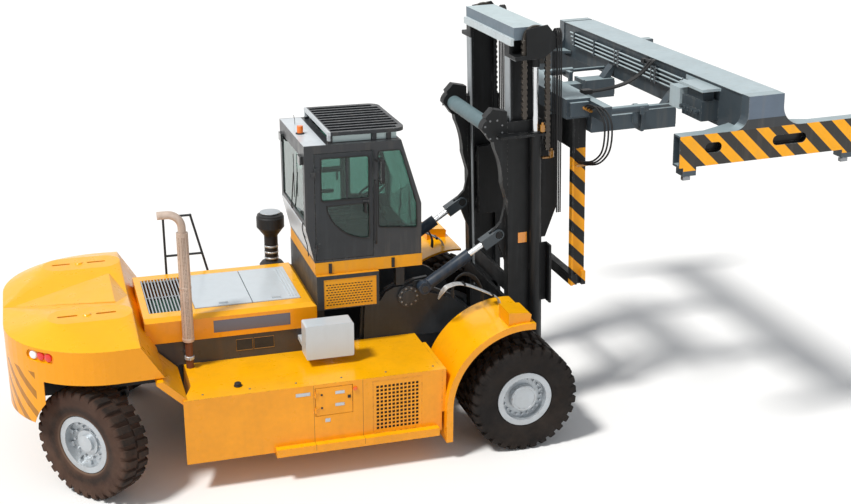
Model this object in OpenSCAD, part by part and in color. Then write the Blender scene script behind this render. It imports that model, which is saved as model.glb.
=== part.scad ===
// Mast type laden container handler with a telescopic top lift spreader.
// Millimetres. X points forward, Y to the left, Z up; the origin lies on the
// ground under the middle of the whole machine.
// Truck coordinates have x = 0 at the front axle; the module truck() shifts them.
// Mast coordinates are truck coordinates with the mast upright; the module mast()
// leans them back about the mast pins.

/* [Truck] */
// Distance from the front axle to the steering axle
wheelbase = 5420; // [5300:10:5500]
// Rearmost point of the counterweight behind the front axle
rear_reach = 6640; // [6620:5:6700]
// Half width over the counterweight
ballast_half = 1880; // [1860:5:1900]
// Half width over the side tanks
tank_half = 1980; // [1950:5:2010]
// Half width of the hood
hood_half = 867; // [850:1:880]
// Height of the top of the hood
hood_top = 2010; // [1990:5:2050]
// Height of the tank tops, which serve as the walkway
walk_top = 1320; // [1300:5:1330]

/* [Wheels] */
// Outer diameter of every tyre
tyre_d = 1500; // [1480:5:1510]
// Width of every tyre
tyre_w = 440; // [430:2:446]
// Outer diameter of the rim flange
flange_d = 772; // [760:2:776]
// Gap between the twin tyres
twin_gap = 70; // [60:2:90]
// Outer face of the front twins from the middle
front_face = 2090; // [2080:2:2120]
// Kingpin from the middle
kingpin_y = 1316; // [1300:2:1330]
// Middle of a steered tyre outside its kingpin
king_offset = 350; // [340:2:360]
// Steered angle in which the machine stands, clockwise seen from above
rest_steer = 46.8; // [40:0.1:50]

/* [Mast] */
// Mast pin ahead of the front axle
pin_x = 350; // [340:2:360]
// Height of the mast pin
pin_z = 700; // [690:2:710]
// Angle by which the mast leans back at rest
rest_tilt = 1.76; // [0:0.01:3]
// Depth of the outer rails, front to back
rail_d = 500; // [500:2:510]
// Outer face of the outer rails from the middle
rail_half = 930; // [930:1:934]
// Height of the top of the outer rails, mast upright
rail_top = 4340; // [4300:10:4400]
// How far the inner mast is raised at rest
raised = 850; // [800:10:900]
// Stroke of the lift cylinders
stroke = 2600; // [2500:10:2650]

/* [Cab] */
// Half width of the cab
cab_half = 815; // [805:1:820]
// Height of the cab floor sill
cab_floor = 2550; // [2540:5:2570]
// Height of the cab roof
cab_top = 4170; // [4150:5:4200]
// Wall thickness of the cab and its doors
cab_wall = 40; // [34:1:46]

/* [Spreader] */
// Half length over the end beams, for a twenty foot box
box_half = 3029; // [3020:1:3040]
// Twistlock spacing across the box
lock_across = 2259; // [2259]
// Twistlock spacing along the box, twenty foot setting
lock_along = 5853; // [5853]
// Rear side of the end beams ahead of the front axle, mast upright
box_rear = 1660; // [1650:5:1680]
// Underside of the end beams, mast upright
box_top = 3985; // [3960:5:4010]

/* [Hidden] */
$fn = 64;
gap = 0.3;                 // between faces that turn or slide on each other
tyre_r = tyre_d / 2;
flange_r = flange_d / 2;
seat_r = flange_r - 56;    // where the bead sits
outer_y = front_face - tyre_w / 2;
inner_y = outer_y - tyre_w - twin_gap;
rear_x = -wheelbase;
box_w = 2550;              // width of a container
box_front = box_rear + box_w;
lock_x0 = box_rear + (box_w - lock_across) / 2;
lock_x1 = box_front - (box_w - lock_across) / 2;
lock_y = lock_along / 2;
// the leading point of the machine, after the mast leans back
lead_x = pin_x + (box_front - pin_x) * cos(rest_tilt) - (box_top - pin_z) * sin(rest_tilt);
truck_x = (rear_reach - lead_x) / 2;

yellow = "#f5b81c";
charcoal = "#3c3e42";
mast_black = "#1d1f22";
slate = "#6f7f8a";
silver = "#c9ced2";
tyre_black = "#232021";

// Frames and helpers
module truck() { translate([truck_x, 0, 0]) children(); }
module mast() {
    truck() translate([pin_x, 0, pin_z]) rotate([0, -rest_tilt, 0])
        translate([-pin_x, 0, -pin_z]) children();
}
module both() {
    children();
    mirror([0, 1, 0]) children();
}
module side(s) {
    if (s > 0) children();
    else mirror([0, 1, 0]) children();
}
// box from corner a to corner b
module block(a, b) { translate(a) cube(b - a); }
// XZ outline, extruded from y0 to y1
module plate(points, y0, y1) {
    translate([0, y1, 0]) rotate([90, 0, 0]) linear_extrude(y1 - y0) polygon(points);
}
// cylinder along Y from y0 to y1
module pin(x, z, r, y0, y1) {
    translate([x, y1, z]) rotate([90, 0, 0]) cylinder(r = r, h = y1 - y0);
}
// cylinder between two points of the XZ plane at y
module rod_xz(a, b, y, r) {
    d = b - a;
    translate([a[0], y, a[1]]) rotate([0, atan2(d[0], d[1]), 0]) cylinder(r = r, h = norm(d));
}
// hinge about Z: the fixed half has the pin and its leaf towards -X, the moving half lies on it
leaf_in = 5;
module hinge_leaf(r, h) { translate([0, -r - gap - leaf_in, 0]) cube([4 * r, r + gap + leaf_in, h]); }
module hinge_fixed(r, h) {
    cylinder(r = r, h = h);
    cylinder(r = r / 2, h = 2 * h - 5);
    mirror([1, 0, 0]) hinge_leaf(r, h);
}
module hinge_moving(r, h) {
    translate([0, 0, h + gap]) difference() {
        union() {
            cylinder(r = r, h = h);
            hinge_leaf(r, h);
        }
        translate([0, 0, -1]) cylinder(r = r / 2 + gap, h = h + 2);
    }
}
module rounded(size, r) {
    translate([r, r]) offset(r) square(size - [2 * r, 2 * r]);
}

// Chassis
plate_in = 570;
plate_out = 634;
tilt_y = 800;              // plane of the tilt cylinders
tilt_base = [-1060, 2040];
tilt_pin_r = 45;
bump_x = -1260;
bump_z = 1900;
nose_x = pin_x + 120;
frame_low = 520;
frame_top = 1290;
ballast_low = 1620;        // underside of the counterweight
tower_top = 2065;          // seat of the cab's front legs

frame_outline = [
    [-6300, 1010], [-6300, ballast_low - gap], [-4950, ballast_low - gap], [-4800, frame_top], [-1950, frame_top],
    [-1900, 1860], [-1660, 1880], [-1580, 2000], [-1450, tower_top], [-1290, tower_top], [-1150, 2110],
    [-960, 2130], [-880, 1960], [-560, 1800], [-300, 1560], [-150, 1250], [20, 1010], [150, 940],
    [260, 810],
    [nose_x, 795], [nose_x, 590], [pin_x, 560], [-150, frame_low], [-4300, frame_low],
    [-4640, 1010]
];

cross_x = [-4300, -3300, -2000, -700];
cross_t = 60;
side_in = plate_in - gap;  // ends of what lies between the side plates
module side_plate() {
    difference() {
        union() {
            plate(frame_outline, plate_in, plate_out);
            // reinforcing plate under the cab with the round boss
            plate([[-1900, frame_top], [-1880, 1840], [-1660, 1860], [-1580, 1980],
                [-1450, tower_top - 20], [-1290, tower_top - 20], [-1180, 2090], [-1120, 1960], [-900, 1900],
                [-560, 1770], [-320, 1540], [-180, frame_top]], plate_out, 700);
            pin(bump_x, bump_z, 150, 700, 745);
            pin(bump_x, bump_z, 95, 745, 760);
            // rear bracket of the tilt cylinder
            plate([[-1180, 1780], [-1180, 2110], [-1000, 2120], [-985, 1960], [-985, 1830]], 700, 714);
            pin(tilt_base[0], tilt_base[1], tilt_pin_r, plate_out, 880);
        }
        // bores for the mast pin and the axle housing
        pin(pin_x, pin_z, 60, plate_in - 1, plate_out + 1);
        pin(0, tyre_r, axle_r + gap, plate_in - 1, plate_out + 1);
    }
}
module chassis_frame() {
    color(charcoal) truck() {
        both() side_plate();
        // cross members, belly plate and engine bearers
        for (x = cross_x) block([x, -side_in, frame_low], [x + cross_t, side_in, 960]);
        block([cross_x[1] + cross_t + gap, -side_in, frame_low], [cross_x[2] - gap, side_in, frame_low + 30]);
        both() for (x = [-4560, -3000])
            block([x, 380 + gap, 1030], [x + 160, side_in, 1110]);
        block([-6250, -side_in, 1180], [-5900, side_in, ballast_low - gap]);
        block([-5560, -side_in, 1050], [-5280, side_in, 1250]);
    }
    color(silver) truck() both() {
        pin(pin_x, pin_z, 60, plate_in - 20, 697);
        pin(pin_x, pin_z, 85, plate_in - 20, plate_in);
    }
}

axle_r = 165;
module front_axle() {
    color(charcoal) truck() {
        pin(0, tyre_r, axle_r, -1000, 1000);
        pin(-60, tyre_r, 250, -300, 300);
        both() pin(0, tyre_r, 110, 1000, 1950);
    }
}

fork_low = 640;
fork_high = 870;
fork_t = 80;
fork_r = 110;
king_r = 45;
module rear_axle() {
    color(charcoal) truck() {
        block([rear_x - 150, -1150, 610], [rear_x + 150, 1150, 900]);
        both() for (z = [fork_low - fork_t, fork_high]) {
            block([rear_x - fork_r, 1100, z], [rear_x + fork_r, kingpin_y, z + fork_t]);
            translate([rear_x, kingpin_y, z]) cylinder(r = fork_r, h = fork_t);
        }
        both() translate([rear_x, kingpin_y, fork_low - 10]) cylinder(r = king_r, h = fork_high - fork_low + 20);
        block([rear_x - 100, -300, 900], [rear_x + 100, 300, 1049.7]);
        // steering cylinder across the axle
        pin(rear_x + 230, 760, 70, -330, 330);
        pin(rear_x + 230, 760, 35, -640, 640);
        for (y = [-260, 220]) block([rear_x + 150, y, 700], [rear_x + 240, y + 40, 820]);
    }
}

// Counterweight
ballast_front = -5020;     // front edge at the crease
ballast_foot = -4750;      // front edge at the underside
ballast_mid = 2060;        // crease round the body
ballast_crown = 2235;      // flat tops of the shoulders
skirt_low = 1010;
skirt_front = -6200;
arch_r = 965;
corner_r = 1300;
shoulder_y = 1000;
slot_x = [-5960, -5480];
lamp_turn = 47;            // place of the tail lamps round the corner
module ballast_plan() {
    r = corner_r;
    hull() {
        for (s = [-1, 1]) translate([-rear_reach + r, s * (ballast_half - r)]) circle(r, $fn = 64);
        for (s = [-1, 1]) translate([ballast_foot - 40, s * (ballast_half - 60)]) square(80, center = true);
    }
}
// half of the plan on side s, cut at the crease's front edge
module half_plan(s) {
    intersection() {
        ballast_plan();
        translate([-rear_reach, s > 0 ? 0 : -ballast_half])
            square([rear_reach + ballast_front, ballast_half]);
    }
}
// stadium along X, centred, in the XY plane
module stadium(len, r) {
    for (s = [-1, 1]) translate([s * (len / 2 - r), 0]) circle(r);
    square([len - 2 * r, 2 * r], center = true);
}
module at_tail_corner() {
    for (s = [-1, 1]) translate([-rear_reach + corner_r, s * (ballast_half - corner_r), 1950])
        rotate([0, 0, s * (180 - lamp_turn)]) translate([corner_r, 0, 0]) children();
}
module counterweight() {
    color(yellow) truck() difference() {
        union() {
            // body with the slanted front edge
            intersection() {
                translate([0, 0, ballast_low]) linear_extrude(ballast_mid - ballast_low) ballast_plan();
                plate([[-7000, 0], [ballast_foot, 0], [ballast_foot, ballast_low], [ballast_front, ballast_mid],
                    [ballast_front, 4000], [-7000, 4000]], -3000, 3000);
            }
            // shoulders that slope down to the crease and to the valley between them
            for (s = [-1, 1]) hull() {
                translate([0, 0, ballast_mid - 5]) linear_extrude(5) half_plan(s);
                translate([-5560, s * shoulder_y, ballast_crown - 2]) linear_extrude(2) stadium(1060, 250, $fn = 24);
            }
            // ramp of the valley, rising to the front
            hull() {
                block([-6510, -4, ballast_mid - 5], [-6500, 4, ballast_mid]);
                block([ballast_front - 10, -620, ballast_mid - 5], [ballast_front, 620, ballast_mid]);
                block([-5240, -550, ballast_crown - 45], [-5220, 550, ballast_crown - 35]);
            }
            // rear skirt with the wheel arches
            difference() {
                intersection() {
                    translate([0, 0, skirt_low]) linear_extrude(ballast_low - skirt_low) ballast_plan();
                    block([-7000, -3000, 0], [skirt_front, 3000, 3000]);
                }
                pin(rear_x, tyre_r, arch_r, -3000, 3000);
            }
            // lifting bosses
            for (s = [-1, 1]) translate([-5600, s * shoulder_y, ballast_crown - 10]) cylinder(r1 = 70, r2 = 45, h = 26);
        }
        // lifting slots of the shoulders
        for (s = [-1, 1]) for (x = slot_x)
            translate([x + 120, s * shoulder_y, ballast_crown - 60]) linear_extrude(80) stadium(250, 22);
        // room for the chassis and the hood
        block([-6300 - gap, -plate_out - gap, 0], [0, plate_out + gap, ballast_low]);
        block([hood_rear - gap, -hood_half - gap, 0], [0, hood_half + gap, 4000]);
        // recesses of the tail lamps
        at_tail_corner() rotate([90, 0, 90]) linear_extrude(80, center = true) stadium(430, 70);
        // tow jaw with its pin
        block([-7000, -140, 1150], [-6450, 140, 1330]);
        translate([-6540, 0, 1000]) cylinder(r = 25, h = 600);
    }
}

// Engine room
module engine_block() {
    color("#2f6d5a") truck() block([-4720, -380, 1000], [-2700, 380, 1800]);
}

hood_rear = -4890;
hood_front = -2590;
hood_side_low = 1660;
hood_panel_low = walk_top + gap;
lid_half = 640;
lid_rear = -4200;
lid_split = -3420;
lid_front = -2760;
grille_rear = -4800;
grille_front = -4240;
sheet = 30;
lid_sunk = 15;
ledge = 30;
hood_bevel = 55;
// hood with bevelled top edges, its faces moved in by inset
module hood_form(inset, low) {
    half = hood_half - inset;
    top = hood_top - inset;
    front = hood_front - inset;
    intersection() {
        block([hood_rear + inset, -half, low], [front, half, top]);
        translate([hood_rear, 0, 0]) rotate([90, 0, 90]) linear_extrude(hood_front - hood_rear)
            polygon([[-half, 0], [-half, top - hood_bevel], [-half + hood_bevel, top],
                [half - hood_bevel, top], [half, top - hood_bevel], [half, 0]]);
        plate([[hood_rear, 0], [hood_rear, top], [front - hood_bevel, top], [front, top - hood_bevel], [front, 0]],
            -half, half);
    }
}
module hood() {
    color(yellow) truck() difference() {
        hood_form(0, hood_side_low);
        hood_form(sheet, hood_side_low - 1);
        // opening of the lids with the ledge they lie on
        block([lid_rear, -lid_half, hood_top - lid_sunk - gap], [lid_front, lid_half, 3000]);
        block([lid_rear + ledge, -lid_half + ledge, 0], [lid_front - ledge, lid_half - ledge, 3000]);
        block([grille_rear, -lid_half, 0], [grille_front, lid_half, 3000]);
    }
    color(charcoal) truck() both()
        block([hood_rear, hood_half - 60, hood_panel_low], [hood_front, hood_half - 20, hood_side_low]);
}
module hood_lid(x0, x1) {
    color("#dfe5ea") truck() {
        block([x0 + 6, -lid_half + 6, hood_top - lid_sunk], [x1 - 6, lid_half - 6, hood_top + 12]);
        translate([(x0 + x1) / 2 - 60, -lid_half + 60, hood_top + 12]) cube([120, 20, 25]);
    }
}
module hood_lid_rear() { hood_lid(lid_rear, lid_split); }
module hood_lid_front() {
    hood_lid(lid_split, lid_front);
    // ribs at the front end
    color("#dfe5ea") truck() for (i = [0:2])
        translate([lid_front - 60 - 40 * i, -lid_half + 80, hood_top + 12]) cube([14, 2 * lid_half - 160, 10]);
}
module hood_grille() {
    bars = 13;
    step = (grille_front - grille_rear - 24) / (bars - 1);
    color(silver) truck() {
        for (i = [0:bars - 1]) translate([grille_rear + 4 + i * step, -lid_half + gap, hood_top - 30])
            cube([16, 2 * (lid_half - gap), 30]);
        for (y = [-lid_half + gap, -10, lid_half - 20 - gap])
            translate([grille_rear + 4, y, hood_top - 38]) cube([grille_front - grille_rear - 8, 20, 12]);
    }
}

// Side tanks
tank_in = 700;
tank_low = 430;
board_half = 2080;         // outer edge, top and underside of the running board
board_top = 510;
board_low = 400;
tank_rear = -4560;
tank_front = -1160;
door_x0 = -2880;
door_x1 = -2380;
door_z0 = 870;
door_z1 = 1270;
tank_hinge_r = 9;
panel_x0 = -2110;
panel_x1 = -1440;
panel_z0 = 520;
panel_z1 = 1270;
panel_edge = 65;           // from the rim to the first holes
hole = 34;
panel_step = 54;
panel_columns = floor((panel_x1 - panel_x0 - 2 * panel_edge) / panel_step) + 1;
panel_rows = floor((panel_z1 - panel_z0 - 2 * panel_edge) / panel_step) + 1;
module at_tank_hinges() {
    for (z = [door_z0 + 50, door_z1 - 130])
        translate([door_x0 + door_gap, tank_half + tank_hinge_r + gap, z]) children();
}
module tank_plan() {
    polygon([[tank_rear, tank_half], [tank_rear + 150, tank_half - 430], [tank_rear + 150, tank_in],
        [tank_front, tank_in], [tank_front, tank_half]]);
}
module side_tank(s, door) {
    color(yellow) truck() side(s) difference() {
        union() {
            translate([0, 0, tank_low]) linear_extrude(walk_top - tank_low) tank_plan();
            // slanted guard up to the counterweight
            plate([[tank_rear, walk_top - 60], [tank_rear + 60, walk_top], [-4780, 1600],
                [-4850, 1600], [-4870, 1560]], 900, tank_half - 30);
            // running board at the tank's foot
            block([-3420, tank_half - 260, board_low], [tank_front - 60, board_half, board_top]);
        }
        if (door) block([door_x0, tank_half - 30, door_z0], [door_x1, tank_half + 10, door_z1]);
        // recess behind the perforated panel
        block([panel_x0, tank_half - 26, panel_z0], [panel_x1, tank_half + 10, panel_z1]);
    }
    if (door) color(yellow) truck() side(s) at_tank_hinges() hinge_fixed(tank_hinge_r, 40);
    // perforated panel, set in its recess
    color(yellow) truck() side(s) difference() {
        block([panel_x0 + gap, tank_half - 12, panel_z0 + gap], [panel_x1 - gap, tank_half - 4, panel_z1 - gap]);
        for (i = [0:panel_columns - 1]) for (j = [0:panel_rows - 1])
            translate([panel_x0 + panel_edge + i * panel_step, 0, panel_z0 + panel_edge + j * panel_step])
                block([-hole / 2, tank_half - 20, -hole / 2], [hole / 2, tank_half, hole / 2]);
    }
}
module side_tank_right() { side_tank(-1, true); }
module side_tank_left() { side_tank(1, false); }
module tank_door() {
    color(yellow) truck() side(-1) {
        g = door_gap;
        block([door_x0 + g, tank_half - 24, door_z0 + g], [door_x1 - g, tank_half, door_z1 - g]);
        at_tank_hinges() hinge_moving(tank_hinge_r, 40);
    }
}

fender_r = 1125;
fender_in = 1050;
fender_low = 280;
fender_tip = 110;
// section of a sheet bent over the wheel, from the front tip back and straight down
module fender_section(r, t) {
    difference() {
        union() {
            circle(r);
            translate([-r, fender_low - tyre_r]) square([r, tyre_r - fender_low]);
        }
        circle(r - t);
        translate([-r + t, -r]) square([2 * r, r]);
        translate([0, -r]) square([r + 1, r]);
        translate([fender_tip, 0]) square(r + 1);
        translate([-r, -r - 1]) square([r, r + 1 + fender_low - tyre_r]);
    }
}
module fenders() {
    color(yellow) truck() both() {
        translate([0, front_face, tyre_r]) rotate([90, 0, 0]) {
            linear_extrude(front_face - fender_in) fender_section(fender_r, 32);
            linear_extrude(40) fender_section(fender_r, 90);
        }
        // bracket at the side tank
        block([tank_front + gap, fender_in, 700], [-fender_r + 20, tank_half, walk_top]);
        // lamp box
        plate([[-260, 1835], [40, 1860], [60, 1980], [30, 2010], [-260, 2030]], 1650, 2040);
    }
}

stack_x = -4340;
stack_y = -960;
module exhaust_stack() {
    color("#c9b49a") truck() {
        translate([stack_x, stack_y, walk_top + gap]) cylinder(r = 50, h = 420);
        translate([stack_x, stack_y, 1700]) cylinder(r = 76, h = 1500);
        translate([stack_x, stack_y, 3150]) cylinder(r = 52, h = 120);
        for (z = [1430, 1720, 2440, 3170]) translate([stack_x, stack_y, z])
            cylinder(r = z > 1500 && z < 3000 ? 80 : 60, h = 26);
        translate([stack_x - 180, stack_y, 3270]) rotate([-90, 0, 0]) rotate([0, 0, 270])
            rotate_extrude(angle = 90) translate([180, 0]) circle(52);
        translate([stack_x - 180, stack_y, 3450]) rotate([0, -90, 0]) cylinder(r = 52, h = 120);
    }
}
cleaner_x = -2840;
cleaner_y = 1080;
module air_precleaner() {
    // radius and height from the walkway of each step of the outline
    steps = [[180, 0], [180, 600], [150, 640], [100, 660], [100, 1040], [110, 1060], [185, 1160], [203, 1180],
        [203, 1330], [190, 1350], [190, 1365], [120, 1400]];
    color("#26282b") truck() translate([cleaner_x, cleaner_y, walk_top + gap])
        rotate_extrude() polygon(concat([[0, 0]], steps, [[0, 1400]]));
}
rail_rear = -4388;
rail_fore = -4000;
rail_y = 1050;
rail_z = 2790;
rail_r = 17;
module handrail() {
    color(charcoal) truck() {
        rod_xz([rail_rear, walk_top + gap], [rail_rear, rail_z], rail_y, rail_r);
        rod_xz([rail_fore + 260, walk_top + gap], [rail_fore + 260, 1700], rail_y, rail_r);
        rod_xz([rail_fore + 260, 1700], [rail_fore, rail_z], rail_y, rail_r);
        rod_xz([rail_rear, rail_z], [rail_fore, rail_z], rail_y, rail_r);
        rod_xz([rail_rear, 2200], [rail_fore + 140, 2200], rail_y, rail_r);
        for (p = [[rail_rear, rail_z], [rail_fore, rail_z], [rail_fore + 260, 1700]])
            translate([p[0], rail_y, p[1]]) sphere(rail_r + 4);
    }
}
module control_box() {
    color("#e9edf0") truck() {
        translate([-2870, -1300, 1430]) rotate([90, 0, 0]) linear_extrude(280, center = true)
            rounded([650, 475], 25);
        for (x = [-2860, -2400]) block([x, -1160, 1500], [x + 160, -hood_half + 20 - gap, 1560]);
    }
}

// Cab
cab_rear = -2700;
cab_nose = -1100;
cab_sill = 2380;
cab_outline = [
    [cab_rear + 110, cab_floor], [cab_nose, cab_floor], [cab_nose, 3270],
    [cab_nose - 280, cab_top], [cab_rear, cab_top], [cab_rear, 3030]
];
door_rear = -2570;
door_front = -1770;
door_low = cab_floor + 30;
door_high = 4060;
door_hinges = [2700, 3750];
door_gap = 6;
vent_x = [-2485, -1765];
vent_z = [1912, 2312];
base_low = 1890;
vent_edge = 40;            // from the rim to the middle of the first slots
vent_slot = 28;
vent_step = 44;
vent_rise = 36;
vent_columns = floor((vent_x[1] - vent_x[0] - 2 * vent_edge) / vent_step) + 1;
vent_rows = floor((vent_z[1] - vent_z[0] - 2 * vent_edge) / vent_rise) + 1;
module cab_base() {
    color(yellow) truck() {
        block([-2590, -cab_half - 10, cab_sill], [-1090, cab_half + 10, cab_floor - gap]);
        // perforated plates at the sides, with staggered rows of short slots
        both() difference() {
            block([vent_x[0], hood_half + 2 + gap, vent_z[0]], [vent_x[1], hood_half + 16, vent_z[1]]);
            for (j = [0:vent_rows - 1]) for (i = [0:vent_columns - 1 - j % 2])
                translate([vent_x[0] + vent_edge + (i + (j % 2) / 2) * vent_step, 0, vent_z[0] + vent_edge + j * vent_rise])
                    block([-vent_slot / 2, hood_half, -7], [vent_slot / 2, hood_half + 20, 7]);
        }
    }
    color(charcoal) truck() {
        difference() {
            block([-2585, -hood_half - 20, base_low], [-1720, hood_half + 20, cab_sill - gap]);
            both() block([vent_x[0] - gap, hood_half + 2, vent_z[0] - gap],
                [vent_x[1] + gap, hood_half + 30, vent_z[1] + gap]);
        }
        // legs on the chassis, at the rear and on the bump
        both() block([-2560, plate_in, frame_top + gap], [-2440, plate_out, base_low - gap]);
        both() block([-1430, plate_in, tower_top + gap], [-1310, 700, cab_sill - gap]);
    }
}
module quarter_window(inset) {
    offset(delta = -inset) polygon([[-1700, 2980], [-1160, 2930], [-1170, 3280], [-1390, 4040], [-1700, 4040]]);
}
module cab_inner() {
    w = cab_wall;
    polygon([[cab_rear + 110 + w, cab_floor + w], [cab_nose - w, cab_floor + w], [cab_nose - w, 3264],
        [cab_nose - 280 - w, cab_top - w], [cab_rear + w, cab_top - w], [cab_rear + w, 3036]]);
}
rear_glass_y = 705;
rear_glass_z = [3120, 3980];
roof_glass_x = [-2300, -1500];
roof_glass_y = 500;
hinge_r = 13;
module at_door_hinges() {
    for (z = door_hinges) translate([door_rear + door_gap, cab_half + hinge_r + gap, z]) children();
}
// wall panels between the side frames, cut from the ring of the outline between x0 and x1, z0 and z1
module cab_panel(x0, x1, z0, z1) {
    half = cab_half - cab_wall - gap;
    intersection() {
        difference() {
            plate(cab_outline, -half, half);
            translate([0, half + 1, 0]) rotate([90, 0, 0]) linear_extrude(2 * half + 2) cab_inner();
        }
        block([x0, -half, z0], [x1, half, z1]);
    }
}
module cab_shell() {
    w = cab_wall;
    low = cab_floor + w;
    high = cab_top - w;
    mid = (cab_rear + cab_nose) / 2;
    color(charcoal) truck() {
        both() at_door_hinges() hinge_fixed(hinge_r, 60);
        // side frames with the door opening and the front quarter window
        both() difference() {
            plate(cab_outline, cab_half - w, cab_half);
            block([door_rear, cab_half - w - 1, door_low], [door_front, cab_half + 1, door_high]);
            translate([0, cab_half + 1, 0]) rotate([90, 0, 0]) linear_extrude(w + 2) quarter_window(0);
        }
        cab_panel(cab_rear, cab_nose, cab_floor, low);
        difference() {
            cab_panel(cab_rear, mid, low + gap, high - gap);
            block([cab_rear - 10, -rear_glass_y, rear_glass_z[0]], [cab_rear + w + 5, rear_glass_y, rear_glass_z[1]]);
        }
        difference() {
            cab_panel(mid, cab_nose, low + gap, high - gap);
            plate([[cab_nose - 200, 2750], [cab_nose + 100, 2750], [cab_nose + 100, 3270],
                [cab_nose - 100, 4100], [cab_nose - 400, 4080]], -cab_half + 70, cab_half - 70);
        }
        difference() {
            cab_panel(cab_rear, cab_nose, high, cab_top);
            block([roof_glass_x[0], -roof_glass_y, high - 10], [roof_glass_x[1], roof_glass_y, cab_top + 10]);
        }
    }
}
module cab_glass() {
    g = gap;
    color("#7fb3a4") truck() {
        both() translate([0, cab_half - 16, 0]) rotate([90, 0, 0]) linear_extrude(8) quarter_window(g);
        block([cab_rear + 16, -rear_glass_y + g, rear_glass_z[0] + g],
            [cab_rear + 24, rear_glass_y - g, rear_glass_z[1] - g]);
        block([roof_glass_x[0] + g, -roof_glass_y + g, cab_top - 24],
            [roof_glass_x[1] - g, roof_glass_y - g, cab_top - 16]);
    }
}
guard_x0 = -2360;
guard_x1 = -1300;
guard_half = 760;
guard_bar = 50;
guard_r = 160;             // front corners
module cab_roof_guard() {
    bars = 9;
    step = 2 * (guard_half - guard_bar) / (bars + 1);
    color(charcoal) truck() {
        translate([0, 0, cab_top + 100]) linear_extrude(guard_bar) difference() {
            hull() {
                translate([guard_x0, -guard_half]) square([guard_bar, 2 * guard_half]);
                for (s = [-1, 1]) translate([guard_x1 - guard_r, s * (guard_half - guard_r)])
                    circle(guard_r, $fn = 48);
            }
            for (i = [0:bars]) translate([guard_x0 + guard_bar, -guard_half + guard_bar + i * step + 10])
                square([guard_x1 - guard_x0 - 2 * guard_bar - (i == 0 || i == bars ? 60 : 0), step - 44]);
        }
        // feet on the roof
        for (x = [guard_x0, guard_x0 + 600, guard_x1 - 260]) both()
            block([x, guard_half - 75, cab_top + gap], [x + 60, guard_half - 15, cab_top + 110]);
    }
}
module cab_door(s) {
    g = door_gap;
    w = cab_wall;
    color(charcoal) truck() side(s) {
        difference() {
            block([door_rear + g, cab_half - w, door_low + g], [door_front - g, cab_half, door_high - g]);
            // upper window, and the lower one with its round rear corner
            block([door_rear + 90, cab_half - w - 1, 3400], [door_front - 60, cab_half + 1, 3990]);
            translate([0, cab_half + 1, 0]) rotate([90, 0, 0]) linear_extrude(w + 2)
                intersection() {
                    translate([door_rear + 100, 2800]) square([door_front - door_rear - 160, 540]);
                    translate([door_front - 60, 3440]) circle(600, $fn = 96);
                }
        }
        // divider of the sliding window, grip and sill latch
        block([door_rear + 430, cab_half - w + 8, 3400 - 1], [door_rear + 455, cab_half - 8, 3991]);
        block([door_front - 150, cab_half, 3360], [door_front - 70, cab_half + 22, 3385]);
        at_door_hinges() hinge_moving(hinge_r, 60);
    }
}
module cab_door_right() { cab_door(-1); }
module cab_door_left() { cab_door(1); }
module driver_seat() {
    color("#2b2d30") truck() {
        block([-2350, -250, cab_floor + cab_wall + gap], [-1930, 250, 2990]);
        block([-2400, -260, 2990], [-1880, 260, 3110]);
        translate([-2480, -250, 3000]) rotate([0, -8, 0]) cube([110, 500, 640]);
    }
}
module console() {
    color("#2b2d30") truck() {
        translate([-1440, -350, cab_floor + cab_wall + gap]) cube([180, 700, 300]);
        translate([-1400, 0, 2880]) rotate([0, -25, 0]) cylinder(r = 30, h = 420);
        translate([-1577, 0, 3260]) rotate([0, -25, 0]) rotate_extrude() translate([190, 0]) circle(16, $fn = 24);
        translate([-1577, 0, 3260]) rotate([0, -25, 0]) cube([380, 30, 16], center = true);
    }
}
module lamps() {
    color("orange") truck() {
        translate([-2600, -120, cab_top + gap]) cylinder(r = 42, h = 110);
        both() translate([-2740 - gap, 560, 3900]) cube([40, 160, 110]);
    }
}
mirror_x = -1725;
module mirrors() {
    color(charcoal) truck() both() {
        // arm and the rounded housing
        translate([mirror_x, cab_half + gap, 3915]) rotate([-90, 0, 0]) cylinder(r = 14, h = 160);
        translate([mirror_x - 22, cab_half + 140, 3680]) rotate([90, 0, 90]) linear_extrude(44) rounded([210, 320], 45);
    }
}

// Wheels: the axis is Y and the outside looks to +Y
lug_depth = 24;
lugs = 18;                 // on each half of the tread, half a pitch apart
// outline of one half's lugs seen from the side
module lug_ring(turn) {
    pitch = 360 / lugs;
    difference() {
        rotate(turn) polygon([for (i = [0:lugs - 1]) for (k = [[-0.30, -70], [-0.27, 0], [0, 0], [0.27, 0], [0.30, -70]])
            (tyre_r + k[1]) * [cos((i + k[0]) * pitch), sin((i + k[0]) * pitch)]]);
        circle(tyre_r - 90, $fn = 32);
    }
}
module tyre(y) {
    h = tyre_w / 2;
    // radius and half width of the carcass
    profile = [[seat_r + 3, 152 - gap], [flange_r + 8, 152 - gap], [tyre_r - 190, h], [tyre_r - 72, h - 6],
        [tyre_r - lug_depth, h - 60]];
    translate([0, y, 0]) rotate([90, 0, 0]) {
        rotate_extrude($fn = 32) polygon(concat(profile,
            [for (i = [len(profile) - 1:-1:0]) [profile[i][0], -profile[i][1]]]));
        for (s = [0, 1]) translate([0, 0, s == 0 ? 14 : -h + 8])
            linear_extrude(h - 22) lug_ring(s * 180 / lugs);
    }
}
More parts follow.
